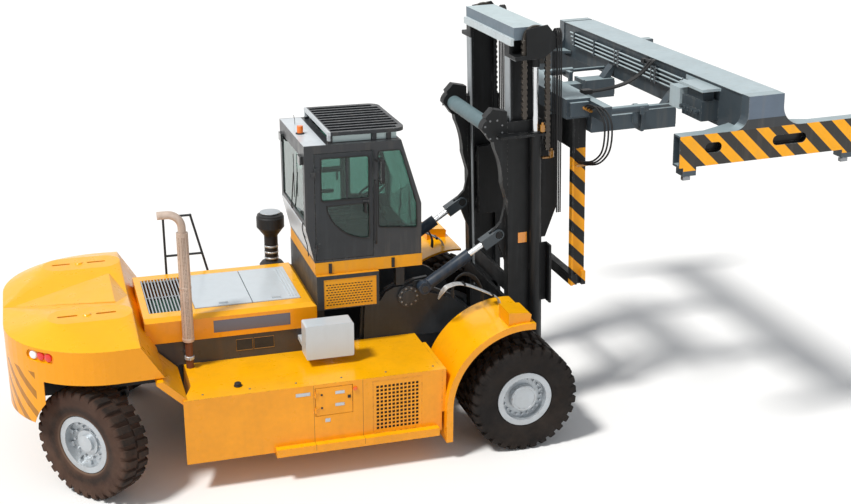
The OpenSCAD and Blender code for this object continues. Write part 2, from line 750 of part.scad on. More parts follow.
// ring of revolution about Y from y0 to y1
module ring(y0, y1, r0, r1) {
    translate([0, y1, 0]) rotate([90, 0, 0]) difference() {
        cylinder(r = r1, h = y1 - y0);
        translate([0, 0, -1]) cylinder(r = r0, h = y1 - y0 + 2);
    }
}
module rim(y) {
    ring(y - 175, y + 175, seat_r - 22, seat_r);
    for (s = [-1, 1]) ring(y + s * 163.5 - 11.5, y + s * 163.5 + 11.5, seat_r - 22, flange_r);
}
module wheel_nuts(y, r, n) {
    for (i = [0:n - 1]) rotate([0, i * 360 / n, 0]) translate([r, y - 2, 0]) rotate([-90, 0, 0])
        cylinder(r = 17, h = 36, $fn = 6);
}
spindle_r = 110;
module front_rims(s) {
    color(silver) truck() translate([0, 0, tyre_r]) side(s) {
        rim(outer_y);
        rim(inner_y);
        ring(1010, 1980, spindle_r + gap, 190);
        ring(outer_y + 30, outer_y + 60, 180, seat_r - 20);
        ring(inner_y + 100, inner_y + 130, 180, seat_r - 20);
        // hub cover with its rim
        pin(0, 0, 185, 1980, 2020);
        ring(2020, 2030, 150, 172);
        wheel_nuts(outer_y + 60, 262, 20);
    }
}
module front_tyres(s) {
    color(tyre_black) truck() translate([0, 0, tyre_r]) side(s) {
        tyre(outer_y);
        tyre(inner_y);
    }
}
module front_tyres_right() { front_tyres(-1); }
module front_tyres_left() { front_tyres(1); }
module front_rims_right() { front_rims(-1); }
module front_rims_left() { front_rims(1); }

module at_kingpin(s) {
    truck() translate([rear_x, s * kingpin_y, tyre_r]) rotate([0, 0, -rest_steer]) side(s) children();
}
module knuckle(s) {
    color(charcoal) at_kingpin(s) {
        difference() {
            union() {
                translate([0, 0, fork_low + gap - tyre_r]) cylinder(r = 90, h = fork_high - fork_low - 2 * gap);
                pin(0, 0, 80, 0, 420);
                pin(0, 0, 100, 60, 130);
            }
            translate([0, 0, -500]) cylinder(r = king_r + gap, h = 1000);
        }
    }
}
module knuckle_right() { knuckle(-1); }
module knuckle_left() { knuckle(1); }
module rear_tyre(s) { color(tyre_black) at_kingpin(s) tyre(king_offset); }
module rear_rim(s) {
    color(silver) at_kingpin(s) {
        rim(king_offset);
        ring(150, 440, 80 + gap, 170);
        ring(king_offset + 40, king_offset + 70, 160, seat_r - 20);
        pin(0, 0, 110, 440, 492);
        ring(440, 452, 100, 168);
        wheel_nuts(king_offset + 70, 150 + 62, 10);
        // clamps at the rim's edge
        for (i = [0:9]) rotate([0, 18 + i * 36, 0])
            block([250, king_offset + 68, -32], [seat_r - 8, king_offset + 100, 32]);
    }
}
module rear_tyre_right() { rear_tyre(-1); }
module rear_tyre_left() { rear_tyre(1); }
module rear_rim_right() { rear_rim(-1); }
module rear_rim_left() { rear_rim(1); }

// Mast
rail_x0 = pin_x - 170;
rail_x1 = rail_x0 + rail_d;
flange_t = 45;
web_t = 40;
run = 7;                   // running clearance of the rails
foot_z0 = 250;
foot_z1 = 500;
tilt_eye = [pin_x - 275, 2730];
tube_x = pin_x - 361;
tube_z = 4254;
lug_in = 640;
lug_out = 698;
ear_t = 25;                // plates of the ear
ear_in = 770;
ear_out = 925;
ear_r = 170;
cap_z = 4150;              // plate that holds the lift barrels
cap_t = 30;
// side view of the ear: from the round end at the cross tube down the hollow back edge
module ear_outline() {
    difference() {
        union() {
            translate([tube_x, tube_z]) circle(ear_r);
            polygon([[tube_x - 115, 4430], [pin_x - 372, 4535], [pin_x + 25, 4440], [rail_x0 + flange_t, rail_top],
                [rail_x0 + flange_t, 3200], [rail_x0, 3200], [pin_x - 300, 3700], [tube_x, tube_z - ear_r]]);
        }
        translate([pin_x - 1370, 3510]) circle(1128, $fn = 128);
    }
}
module outer_mast() {
    color(mast_black) mast() {
        difference() {
            union() {
                both() {
                    // channel rail, open to the inside
                    block([rail_x0, rail_half - web_t, foot_z0], [rail_x1, rail_half, rail_top]);
                    block([rail_x0, rail_half - 170, foot_z0], [rail_x0 + flange_t, rail_half, rail_top]);
                    block([rail_x1 - flange_t, rail_half - 170, foot_z0], [rail_x1, rail_half, rail_top]);
                    // foot with the pin lug
                    block([rail_x0, lug_in, foot_z0], [rail_x1, rail_half, foot_z1]);
                    plate([[rail_x0, foot_z1], [pin_x - 105, pin_z + 60], [pin_x - 50, pin_z + 105],
                        [pin_x + 50, pin_z + 105], [pin_x + 105, pin_z + 60], [rail_x1 - 150, foot_z1]],
                        lug_in, lug_out);
                    // ear in two plates, with the strip between them at the back
                    for (y = [ear_in, ear_out - ear_t]) translate([0, y + ear_t, 0]) rotate([90, 0, 0])
                        linear_extrude(ear_t) intersection() {
                            ear_outline();
                            translate([-1000, 3000]) square([rail_x0 + 1000 + 1, 2000]);
                        }
                    translate([0, ear_out - 1, 0]) rotate([90, 0, 0]) linear_extrude(ear_out - ear_in - 2)
                        intersection() {
                            difference() {
                                ear_outline();
                                offset(delta = -18) ear_outline();
                            }
                            translate([-1000, 3260]) square([rail_x0 + 1000 + 1, 1290]);
                        }
                    // lug of the tilt cylinder
                    difference() {
                        plate([[rail_x0 + 1, 3150], [pin_x - 230, 2900], [tilt_eye[0] - 70, 2790],
                            [tilt_eye[0] - 80, 2690], [tilt_eye[0] - 20, 2640], [rail_x0 + 1, 2300]],
                            tilt_y - 30, tilt_y + 30);
                        pin(pin_x - 870, 2040, 672, tilt_y - 31, tilt_y + 31);
                    }
                    pin(tilt_eye[0], tilt_eye[1], 92, tilt_y - 30, tilt_y + 30);
                    // cap plate round the lift barrel, with a slot for the chain
                    block([rail_x0 - 150, rail_half - 1, cap_z], [rail_x1 - 12, lift_y + 86, cap_z + cap_t]);
                    // hose channel at the lower front
                    block([rail_x1, rail_half - 30, 1700], [rail_x1 + 90, rail_half, 2560]);
                    block([rail_x1 + 60, rail_half - 31, 1700], [rail_x1 + 90, rail_half + 150, 2560]);
                }
                // cross tube at the ears, ties at the back
                pin(tube_x, tube_z, 105, -ear_out, ear_out);
                block([rail_x0, -rail_half + 20, foot_z0], [rail_x0 + flange_t, rail_half - 20, foot_z1]);
                block([rail_x0 - 40, -rail_half + 10, 1550], [rail_x0, rail_half - 10, 1800]);
            }
            both() pin(pin_x, pin_z, 60 + gap, lug_in - 1, lug_out + 1);
            both() pin(tilt_eye[0], tilt_eye[1], tilt_pin_r, tilt_y - 31, tilt_y + 31);
            both() translate([lift_x, lift_y, cap_z - 1]) cylinder(r = barrel_r + gap, h = cap_t + 2);
            both() block([chain_x - chain_d, chain_y - 20, cap_z - 1],
                [chain_x + chain_d, chain_y + chain_w + 20, cap_z + cap_t + 1]);
        }
        both() pin(tilt_eye[0], tilt_eye[1], tilt_pin_r, tilt_y - 78, tilt_y + 78);
    }
}

lift_x = pin_x + 200;
lift_y = 1012;
lift_rod_r = 44;
barrel_r = 76;
barrel_top = 4200;
barrel_low = 420;
module lift_barrels() {
    color(mast_black) mast() both() difference() {
        union() {
            translate([lift_x, lift_y, barrel_low]) cylinder(r = barrel_r, h = barrel_top - barrel_low);
            for (z = [700, 2200, 3700]) block([lift_x - 60, rail_half + gap, z], [lift_x + 60, lift_y, z + 80]);
        }
        translate([lift_x, lift_y, barrel_low + 60]) cylinder(r = lift_rod_r + gap, h = barrel_top);
    }
}

in_x0 = rail_x0 + flange_t + run;
in_x1 = rail_x1 - flange_t - run;
in_out = rail_half - web_t - 10;
in_flange = 43;
in_in = in_out - 175;
in_low = 550 + raised;
in_top = 4590 + raised;
head_low = in_top - 245;
head_t = 56;
head_out = 1100;
head_plate = 25;
head_x1 = 900;
sheave_x = lift_x;
sheave_z = in_top + 10;
chain_pitch = 76;
chain_d = 72;              // depth of the chain plates
chain_w = 56;
chain_y = 1006;
chain_r = 165;             // from the sheave's middle to the chain's
chain_x = sheave_x - chain_r;
hose_sheaves = 3;
hose_x0 = 796;
hose_z = in_top + 50;
hose_y = 1045;
hose_sheave_r = 68;
hose_r = 11;
hose_out = hose_sheave_r + 1 + hose_r;     // from a sheave's middle to its hose's
module at_hoses() {
    for (i = [0:hose_sheaves - 1]) translate([hose_x0 + 28 + i * 26, hose_y, hose_z]) children();
}
module chain_slot(x, z0, z1) {
    play = 6;
    block([x - chain_d / 2 - play, chain_y - play, z0], [x + chain_d / 2 + play, chain_y + chain_w + play, z1]);
}
module inner_mast() {
    color(mast_black) mast() {
        both() {
            block([in_x0, in_in + 85, in_low], [in_x1, in_in + 120, in_top]);
            block([in_x0, in_in, in_low], [in_x0 + in_flange, in_out, in_top]);
            block([in_x1 - in_flange, in_in, in_low], [in_x1, in_out, in_top]);
            // head bracket over the lift rod
            difference() {
                block([in_x0, in_out - 40, head_low], [in_x1, head_out, head_low + head_t]);
                chain_slot(chain_x, head_low - 1, head_low + head_t + 1);
            }
            plate([[chain_x + 15, head_low], [chain_x + 10, in_top + 160], [690, in_top + 200],
                [head_x1 - 30, in_top - 20], [head_x1 - 30, in_top - 70], [in_x1, head_low]],
                head_out - head_plate, head_out);
            pin(sheave_x, sheave_z, 35, in_out - 40, head_out - 1);
            block([sheave_x - 40, in_out - 40, head_low], [sheave_x + 40, in_out, sheave_z + 40]);
            translate([lift_x, lift_y, head_low - 110]) cylinder(r = 60, h = 111);
            // bracket and pin of the hose sheaves
            difference() {
                block([in_x1 - 1, in_out - 60, in_top - 70], [head_x1, head_out - 1, in_top - 45]);
                hull() for (x = [in_x1, sheave_x + chain_r]) chain_slot(x, in_top - 71, in_top - 44);
                block([hose_x0 + 11, hose_y - hose_out - 20, in_top - 71], [head_x1 - 11, hose_y - hose_out + 20, in_top - 44]);
            }
            for (x = [hose_x0, head_x1 - 12]) block([x, hose_y - 35, in_top - 70], [x + 12, hose_y + 35, in_top + 70]);
            translate([hose_x0, hose_y, hose_z]) rotate([0, 90, 0]) cylinder(r = 16, h = head_x1 - hose_x0);
            at_hoses() rotate([0, 90, 0]) cylinder(r = hose_sheave_r, h = 20, center = true);
        }
        block([in_x0, -in_in - 10, in_low + 400], [in_x0 + in_flange, in_in + 10, in_low + 650]);
    }
    // crossbeam with its top sheet and lower lip
    color(slate) mast() {
        block([in_x0 + 30, -in_out - 90, in_top + 0.5], [in_x1 + 60, in_out + 90, in_top + 170]);
        block([in_x0 - 10, -in_out - 90, in_top - 70], [in_x0 + 31, in_out + 90, in_top + 22]);
    }
}
module lift_rods() {
    top = head_low - 110 - gap;
    len = stroke + 250;
    color("#d8dcdf") mast() both() translate([lift_x, lift_y, top - len]) cylinder(r = lift_rod_r, h = len);
}
// leaf chain hanging from z0 to z1 at x: plates in turn wide and narrow at the pins
module chain_run(x, z0, z1) {
    n = floor((z1 - z0) / chain_pitch);
    waist = chain_d / 2 - 11;
    side_points = [for (i = [0:n - 1]) for (k = [[0, chain_d / 2], [0.45, chain_d / 2], [0.5, waist], [0.95, waist]])
        [k[1], z1 - (i + k[0]) * chain_pitch]];
    plate(concat([for (q = side_points) [x + q[0], q[1]]],
        [for (i = [len(side_points) - 1:-1:0]) [x - side_points[i][0], side_points[i][1]]]),
        chain_y, chain_y + chain_w);
}
module lift_chains() {
    color("#4a4a4a") mast() both() {
        difference() {
            union() {
                pin(sheave_x, sheave_z, chain_r + chain_d / 2 - 12, chain_y + 4, chain_y + chain_w - 4);
                // the run to the outer mast and the run to the carriage
                chain_run(chain_x, rail_top + 20, sheave_z);
                chain_run(sheave_x + chain_r, 3900, sheave_z);
            }
            pin(sheave_x, sheave_z, 35 + gap, chain_y - 1, chain_y + chain_w + 1);
        }
    }
}

// hoses over their sheaves: the outer run to the outer mast and the inner run to the carriage
hose_ends = [3050, 3750];
module mast_hoses() {
    route = concat([[0, hose_out, hose_ends[0] - hose_z]],
        [for (a = [0:15:180]) hose_out * [0, cos(a), sin(a)]],
        [[0, -hose_out, hose_ends[1] - hose_z]]);
    color("#17181a") mast() both() at_hoses() tube(route, hose_r, 1, [1, 0, 0]);
}

// Carriage and spreader, drawn at their resting height
roller_r = (in_x1 - in_x0) / 2 - in_flange - gap;
roller_x = (in_x0 + in_x1) / 2;
plate_c0 = 600;
plate_c1 = in_in - 8;
car_low = 2560;
car_stop = 3600;
car_front = 1330;
post_low = 1900;
post_x = [1080, 1300];
module carriage() {
    color(mast_black) mast() {
        both() {
            for (z = [car_low + 170, car_stop - 170])
                pin(roller_x, z, roller_r, plate_c1, plate_c1 + 75);
            plate([[in_x0 + 60, car_low], [in_x1 + 200, car_low], [1000, 3000], [1000, 4330],
                [in_x1 + 250, 4330], [in_x1 + 75, car_stop], [in_x0 + 60, car_stop]], plate_c0, plate_c1);
            // hazard striped posts with their inner flange
            block([post_x[0], 960, post_low], [post_x[1], 1000, 4330]);
            block([post_x[0], 960, post_low], [post_x[0] + 30, 1060, 4330]);
            block([post_x[1] - 60, 960, post_low], [post_x[1], 1060, post_low + 200]);
        }
        block([post_x[0], -1040, 3900], [1180, 1040, 4330]);
        block([post_x[0], -1040, post_low], [1180, 1040, post_low + 160]);
    }
    color(slate) mast() {
        block([980, -1060, 4330], [car_front, 1060, 4600]);
        both() block([980 + 40, 1060, 4370], [car_front - 40, 1060 + 60, 4560]);
    }
}
shift_y = 1000;
beam_x0 = 2600;
beam_x1 = 3100;
beam_top = 4910;
beam_low = 4370;
arm_half = 110;
shift_top = 4560;
collar_x = 2050;
cyl_y = 1290;
module sideshift_frame() {
    color(slate) mast() {
        block([car_front + gap, -1500, 4350], [car_front + 120, 1500, shift_top]);
        both() {
            block([car_front + 120, shift_y - arm_half, 4120], [beam_x0 - gap, shift_y + arm_half, 4330]);
            block([collar_x, shift_y - arm_half - 50, 4080], [collar_x + 40, shift_y + arm_half + 50, 4390]);
            block([collar_x + 40, shift_y - arm_half - 30, 4090], [beam_x0 - 20, shift_y + arm_half + 30, 4370]);
            block([car_front + gap, shift_y - arm_half, 4120], [car_front + 120, shift_y + arm_half, 4350]);
            // slanted struts up to the main beam
            plate([[beam_x0 - 180, 4369], [beam_x0 - 60, 4369], [beam_x0 - gap, 4500], [beam_x0 - gap, 4595]],
                shift_y - 85, shift_y + 85);
        }
    }
    // cylinders of the sideshift beside the arms
    color(mast_black) mast() both() {
        translate([car_front + 120, cyl_y, 4450]) rotate([0, 90, 0]) cylinder(r = 52, h = 620);
        block([collar_x - 110, shift_y + arm_half, 4370], [collar_x - 50, cyl_y + 60, 4470]);
        block([collar_x - 110, shift_y + arm_half - 10, 4200], [collar_x - 50, shift_y + arm_half + 40, 4470]);
    }
    color(silver) mast() both()
        translate([car_front + 735, cyl_y, 4450]) rotate([0, 90, 0])
            cylinder(r = 26, h = beam_x0 - gap - car_front - 735);
}
arm_x0 = beam_x0 + 50;     // the walls and the play of the telescopic boxes
arm_x1 = beam_x1 - 50;
arm_mid = (beam_x0 + beam_x1) / 2;
arm_back = 2450;
beam_half = 2840;
beam_wall = 40;
arm_play = 10;
pipe_r = 15;
pipe_x = beam_x0 - 48;
pipe_z = [4620, 4680, 4740, 4800];
clamp_y = [-1500, -560, 660, 1520, 2300];
module spreader_beam() {
    w = beam_wall;
    pad = arm_play - gap;
    color(slate) mast() {
        difference() {
            block([beam_x0, -beam_half, beam_low], [beam_x1, beam_half, beam_top]);
            block([beam_x0 + w, -beam_half - 1, beam_low + w], [beam_x1 - w, beam_half + 1, beam_top - w]);
        }
        // top sheet that stands over the sides, with its lips
        block([beam_x0 - 12, -beam_half, beam_top - 14], [beam_x0 + 1, beam_half, beam_top]);
        // slide pads at the mouths
        both() for (z = [beam_low + w, beam_top - w - pad])
            block([arm_x0, beam_half - 160, z], [arm_x1, beam_half, z + pad]);
    }
    // pipes of the telescopes and locks, held by clamps on the rear side
    color("#8c969c") mast() {
        for (i = [0:3]) pin(pipe_x, pipe_z[i], pipe_r, -1560 - 60 * i, 2380 + 40 * i);
        for (y = clamp_y) block([beam_x0 - 72, y, 4590], [beam_x0 + 1, y + 34, 4830]);
    }
    // valve block, its cover and the electric box
    color(charcoal) mast() {
        block([2360, -2250, 4440], [beam_x0 + 1, -1720, 4700]);
        block([2400, -2200, 4700], [2560, -1780, 4800]);
        for (i = [0:4]) translate([2400, -2180 + 95 * i, 4560]) rotate([0, -90, 0]) cylinder(r = 28, h = 110);
    }
    color("#cfd6da") mast() {
        block([2360, -1650, 4470], [beam_x0 + 1, -1360, 4760]);
        block([2340, -2290, 4830], [beam_x0 + 1, -1660, 4866]);
    }
}
// tube of radius r along a smooth curve through points, with steps rings from one point to the next
function curve_at(p, i, t) = let(n = len(p) - 1, a = p[max(i - 1, 0)], b = p[i], c = p[min(i + 1, n)], d = p[min(i + 2, n)])
    0.5 * (2 * b + (c - a) * t + (2 * a - 5 * b + 4 * c - d) * t * t + (3 * b - a - 3 * c + d) * t * t * t);
function curve(p, steps) = [for (i = [0:len(p) - 2]) for (k = [0:steps - 1]) curve_at(p, i, k / steps), p[len(p) - 1]];
function unit(v) = v / norm(v);
function across(t, up) = unit(cross(t, up));
module tube(p, r, steps, up = [0.1, 0.2, 1]) {
    sides = 8;
    c = curve(p, steps);
    n = len(c);
    points = [for (i = [0:n - 1]) let(t = unit(c[min(i + 1, n - 1)] - c[max(i - 1, 0)]), u = across(t, up), v = cross(t, u))
        for (k = [0:sides - 1]) c[i] + r * (cos(k * 360 / sides) * u + sin(k * 360 / sides) * v)];
    polyhedron(points, concat([[for (k = [0:sides - 1]) k]], [[for (k = [sides - 1:-1:0]) (n - 1) * sides + k]],
        [for (i = [0:n - 2]) for (k = [0:sides - 1]) let(m = (k + 1) % sides)
            [i * sides + k, (i + 1) * sides + k, (i + 1) * sides + m, i * sides + m]]));
}
// routes of the double hose from its block on the main beam to its block on the sideshift frame
loop_r = 19;
loop_out = [[2560, -230, 4855], [2555, -420, 4880], [2500, -600, 4925], [2390, -730, 4920], [2240, -780, 4810],
    [2050, -760, 4690], [1850, -710, 4620], [1650, -690, 4590], [1480, -690, 4585]];
loop_in = [[2515, -230, 4855], [2510, -400, 4880], [2465, -560, 4925], [2365, -690, 4920], [2235, -736, 4810],
    [2050, -716, 4690], [1850, -666, 4620], [1650, -646, 4590], [1480, -646, 4585]];
module spreader_hoses() {
    color("#2b2e31") mast() {
        tube(loop_out, loop_r, 3);
        tube(loop_in, loop_r, 3);
        // blocks of the ends
        block([car_front + 40, -730, shift_top + gap], [car_front + 180, -606, shift_top + 60]);
        block([beam_x0 - 115, -300, 4825], [beam_x0 - gap, -200, 4885]);
    }
}

end_t = 180;
corner_half = 89;
lock_r = 35;
end_low = box_top + 110;
end_top = box_top + 515;
hump_top = beam_top + 6;
hump_x0 = beam_x0 - 14;
hump_x1 = beam_x1 - 20;
fillet_rear = 180;
fillet_front = 260;
// side face of an end beam: a bar, the hump over the main beam and its two hollow fillets
module end_outline() {
    translate([box_rear, end_low]) square([box_w, end_top - end_low]);
    translate([hump_x0, end_low]) square([hump_x1 - hump_x0, hump_top - end_low]);
    difference() {
        translate([hump_x0 - fillet_rear, end_low])
            square([hump_x1 - hump_x0 + fillet_rear + fillet_front, end_top - end_low + fillet_front]);
        translate([hump_x0 - fillet_rear, end_top + fillet_rear]) circle(fillet_rear);
        translate([hump_x0 - 2 * fillet_front, end_top + fillet_rear]) square([2 * fillet_front, fillet_front]);
        translate([hump_x1 + fillet_front, end_top + fillet_front]) circle(fillet_front);
    }
}
module spreader_arm(s) {
    // the two telescopic boxes lie side by side in the main beam
    x0 = s > 0 ? arm_x0 : arm_mid + 5;
    x1 = s > 0 ? arm_mid - 5 : arm_x1;
    color(slate) mast() side(s) {
        difference() {
            block([x0, -arm_back, beam_low + beam_wall + arm_play],
                [x1, box_half - 100, beam_top - beam_wall - arm_play]);
            block([x0 + 25, -arm_back - 1, beam_low + beam_wall + arm_play + 25],
                [x1 - 25, box_half - 125, beam_top - beam_wall - arm_play - 25]);
        }
        difference() {
            translate([0, box_half, 0]) rotate([90, 0, 0]) linear_extrude(end_t) end_outline();
            // lifting slots and the open ends
            for (slot = [[2120, 230], [3190, 480]])
                translate([slot[0], box_half + 1, 4320]) rotate([90, 0, 0])
                    linear_extrude(100) stadium(slot[1], 65);
            for (x = [box_rear - 1, box_front - 200])
                block([x, box_half - end_t + 20, end_low + 30], [x + 201, box_half - 20, end_top - 25]);
        }
        // corner feet with the bores of the twistlocks
        for (x = [lock_x0, lock_x1])
            difference() {
                block([x - corner_half, lock_y - corner_half, box_top], [x + corner_half, box_half, end_low + 20]);
                translate([x, lock_y, box_top - 1]) cylinder(r = lock_r + gap, h = 200);
            }
        // top gussets towards the main beam
        for (g = [[hump_x0, -1], [beam_x1 + 5, 1]])
            translate([0, 0, end_top - 60]) linear_extrude(40) polygon([[g[0], box_half - end_t + 5],
                [g[0] + g[1] * 640, box_half - end_t + 5], [g[0] + g[1] * 60, box_half - end_t - 260],
                [g[0], box_half - end_t - 300]]);
    }
}
module spreader_arm_right() { spreader_arm(-1); }
module spreader_arm_left() { spreader_arm(1); }
module twistlock(s, x) {
    color(silver) mast() side(s) translate([x, lock_y, box_top]) {
        translate([0, 0, -30]) cylinder(r = lock_r, h = 110);
        translate([0, 0, -75]) linear_extrude(45) square([100, 60], center = true);
    }
}
module twistlock_right_rear() { twistlock(-1, lock_x0); }
module twistlock_right_front() { twistlock(-1, lock_x1); }
module twistlock_left_rear() { twistlock(1, lock_x0); }
module twistlock_left_front() { twistlock(1, lock_x1); }

// Tilt cylinders, between the chassis bracket and the leaning mast
function leaned(p) = [
    pin_x + (p[0] - pin_x) * cos(rest_tilt) - (p[1] - pin_z) * sin(rest_tilt),
    pin_z + (p[0] - pin_x) * sin(rest_tilt) + (p[1] - pin_z) * cos(rest_tilt)];
tilt_end = leaned(tilt_eye);
tilt_dir = (tilt_end - tilt_base) / norm(tilt_end - tilt_base);
module along_tilt(s) {
    truck() side(s) translate([tilt_base[0], tilt_y, tilt_base[1]])
        rotate([0, atan2(tilt_dir[0], tilt_dir[1]), 0]) children();
}
tilt_len = norm(tilt_end - tilt_base);
barrel_len = tilt_len - 490;
module tilt_barrel(s) {
    color("#2c3a4a") along_tilt(s) difference() {
        union() {
            translate([0, 0, 90]) cylinder(r = 84, h = barrel_len - 90);
            rotate([90, 0, 0]) cylinder(r = 85, h = 140, center = true);
            translate([-70, -60, 0]) cube([140, 120, 100]);
        }
        rotate([90, 0, 0]) cylinder(r = tilt_pin_r + gap, h = 200, center = true);
        translate([0, 0, 150]) cylinder(r = 42 + gap, h = 3000);
    }
}
module tilt_rod(s) {
    color("#d8dcdf") along_tilt(s) {
        translate([0, 0, 420]) cylinder(r = 42, h = tilt_len - 420 - 200);
        difference() {
            union() {
                translate([-75, -75, tilt_len - 270]) cube([150, 150, 270]);
                translate([0, 0, tilt_len]) rotate([90, 0, 0]) cylinder(r = 75, h = 150, center = true);
            }
            translate([-80, -36, tilt_len - 100]) cube([160, 72, 300]);
            translate([0, 0, tilt_len]) rotate([90, 0, 0]) cylinder(r = tilt_pin_r + 8, h = 200, center = true);
        }
    }
}
module tilt_barrel_right() { tilt_barrel(-1); }
module tilt_barrel_left() { tilt_barrel(1); }
module tilt_rod_right() { tilt_rod(-1); }
module tilt_rod_left() { tilt_rod(1); }

chassis_frame();
front_axle();
rear_axle();
counterweight();
engine_block();
hood();
hood_lid_rear();
hood_lid_front();
hood_grille();
side_tank_right();
side_tank_left();
tank_door();
fenders();
exhaust_stack();
air_precleaner();
handrail();
control_box();
cab_base();
cab_shell();
cab_glass();
cab_roof_guard();
cab_door_right();
cab_door_left();
driver_seat();
console();
lamps();
mirrors();
knuckle_right();
knuckle_left();
front_tyres_right();
front_tyres_left();
front_rims_right();
front_rims_left();
rear_tyre_right();
rear_tyre_left();
rear_rim_right();
rear_rim_left();
outer_mast();
lift_barrels();
inner_mast();
lift_rods();
lift_chains();
mast_hoses();
carriage();
sideshift_frame();
spreader_beam();
spreader_hoses();
spreader_arm_right();
spreader_arm_left();
twistlock_right_rear();
twistlock_right_front();
twistlock_left_rear();
twistlock_left_front();
tilt_barrel_right();
tilt_barrel_left();
tilt_rod_right();
tilt_rod_left();
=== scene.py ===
import math

import bmesh
import bpy
from mathutils import Matrix, Vector


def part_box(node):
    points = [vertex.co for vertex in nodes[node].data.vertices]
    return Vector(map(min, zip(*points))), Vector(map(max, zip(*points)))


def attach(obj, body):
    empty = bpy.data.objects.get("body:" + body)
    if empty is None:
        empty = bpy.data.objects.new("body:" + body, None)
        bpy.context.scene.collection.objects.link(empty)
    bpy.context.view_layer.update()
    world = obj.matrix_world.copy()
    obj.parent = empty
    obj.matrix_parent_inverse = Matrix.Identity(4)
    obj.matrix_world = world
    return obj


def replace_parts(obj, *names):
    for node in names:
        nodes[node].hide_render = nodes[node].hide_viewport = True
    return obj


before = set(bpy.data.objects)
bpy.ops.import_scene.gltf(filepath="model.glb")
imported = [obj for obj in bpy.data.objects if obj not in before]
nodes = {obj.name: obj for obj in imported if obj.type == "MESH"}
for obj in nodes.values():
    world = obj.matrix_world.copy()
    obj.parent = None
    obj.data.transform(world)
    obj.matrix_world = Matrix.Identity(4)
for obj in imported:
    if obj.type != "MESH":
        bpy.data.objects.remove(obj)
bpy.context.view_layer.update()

# The frame's x at the front axle, from which the truck's places are measured
AXLE_X = sum(p.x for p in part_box("front_tyres_right")) / 2


def at_truck(x, y, z):
    """Point of the frame from truck coordinates, x forward of the front axle."""
    return Vector((AXLE_X + x, y, z))


TILT = math.radians(1.76)   # the mast's lean at rest
PIN_X, PIN_Z = 0.35, 0.7    # mast pin, from the front axle and the ground


def truck(x, y, z):
    """Point of the frame from truck millimetres."""
    return at_truck(x / 1000, y / 1000, z / 1000)


def mast(x, y, z):
    """Point of the frame from mast millimetres, drawn upright and leaned back about the pins."""
    dx, dz = x / 1000 - PIN_X, z / 1000 - PIN_Z
    return at_truck(PIN_X + dx * math.cos(TILT) - dz * math.sin(TILT), y / 1000,
                    PIN_Z + dx * math.sin(TILT) + dz * math.cos(TILT))


# Wheels, in truck millimetres as in the part
WHEEL_R = 750
FRONT_TWINS = (1870, 1360)
KINGPIN_X, KINGPIN_Y = -5420, 1316
STEERED_Y = 350                                          # steered wheel, outward from its kingpin
STEERED = Matrix.Rotation(math.radians(-46.8), 3, "Z")   # its turn at rest


def steered(x, y, z, sign):
    """Point of the frame from millimetres about a kingpin, y outward, turned as the wheel is at rest."""
    spot = STEERED @ Vector((x, sign * y, z))
    return truck(KINGPIN_X + spot.x, sign * KINGPIN_Y + spot.y, spot.z)


# Faces and places on the truck, in its millimetres as in the part
CAB_HALF = 815
HOOD_FACE = 867
HOOD_SIDE_FACE = 847
TANK_FACE = 1980
DECK_TOP = 1320
ROOF_TOP = 4170
STACK_X, STACK_Y = -4340, -960
CLEANER_X, CLEANER_Y = -2840, 1080
BOSS_X, BOSS_Z = -1260, 1900
TAIL_CORNER = (-5340, 580, 1950)   # centre of the ballast's round corner, on the left
TAIL_R = 1300
TAIL_TURN = 47                     # degrees from the rear to the middle of the lamp recess

# Faces and places on the mast and the spreader, in mast millimetres
RAIL_FACE = 930
EAR_X, EAR_Z = -11, 4254
PIPE_X, PIPE_Z = 2552, 4620   # lowest of the beam's four pipes
PIPE_STEP = 60
HOSE_X, HOSE_Z = 1215, 4480   # rear hose of the three at the carriage's head
HOSE_STEP, HOSE_DROP = 42, 22

# Camera at the photograph's angle
CAMERA_AT = (-5.994, -16.919, 8.485)
CAMERA_YAW = 17.10
CAMERA_PITCH = 19.38
CAMERA_ROLL = 0.18
CAMERA_LENS = 55.0


def add_object(name, data):
    made = bpy.data.objects.new(name, data)
    bpy.context.scene.collection.objects.link(made)
    return made


def add_camera():
    data = bpy.data.cameras.new("camera")
    data.lens = CAMERA_LENS
    data.sensor_width = 36
    data.clip_end = 200
    camera = add_object("camera", data)
    turn = Matrix.Rotation(math.radians(-CAMERA_YAW), 4, "Z") @ Matrix.Rotation(
        math.radians(90 - CAMERA_PITCH), 4, "X") @ Matrix.Rotation(math.radians(CAMERA_ROLL), 4, "Z")
    camera.matrix_world = Matrix.Translation(at_truck(*CAMERA_AT)) @ turn
    bpy.context.scene.camera = camera


def add_sun(name, direction, strength, angle, colour):
    data = bpy.data.lights.new(name, "SUN")
    data.energy = strength
    data.angle = math.radians(angle)
    data.color = colour
    light = add_object(name, data)
    light.rotation_euler = Vector(direction).to_track_quat("-Z", "Y").to_euler()


def add_world(strength, colour):
    """Pale light on the object and plain white behind it, in metal and through glass."""
    world = bpy.data.worlds.new("world")
    bpy.context.scene.world = world
    world.use_nodes = True
    tree = world.node_tree
    tree.nodes.clear()

    def node(kind, *sources):
        made = tree.nodes.new("ShaderNode" + kind)
        for socket, source in zip(made.inputs, sources):
            tree.links.new(source, socket)
        return made

    def sky(colour, strength):
        made = node("Background")
        made.inputs["Color"].default_value = (*colour, 1)
        made.inputs["Strength"].default_value = strength
        return made.outputs[0]

    def either(a, b):
        made = node("Math", a, b)
        made.operation = "MAXIMUM"
        return made.outputs[0]

    ray = node("LightPath").outputs
    seen = either(either(ray["Is Camera Ray"], ray["Is Transmission Ray"]), ray["Is Glossy Ray"])
    node("OutputWorld", node("MixShader", seen, sky(colour, strength), sky((1, 1, 1), 1)).outputs[0])


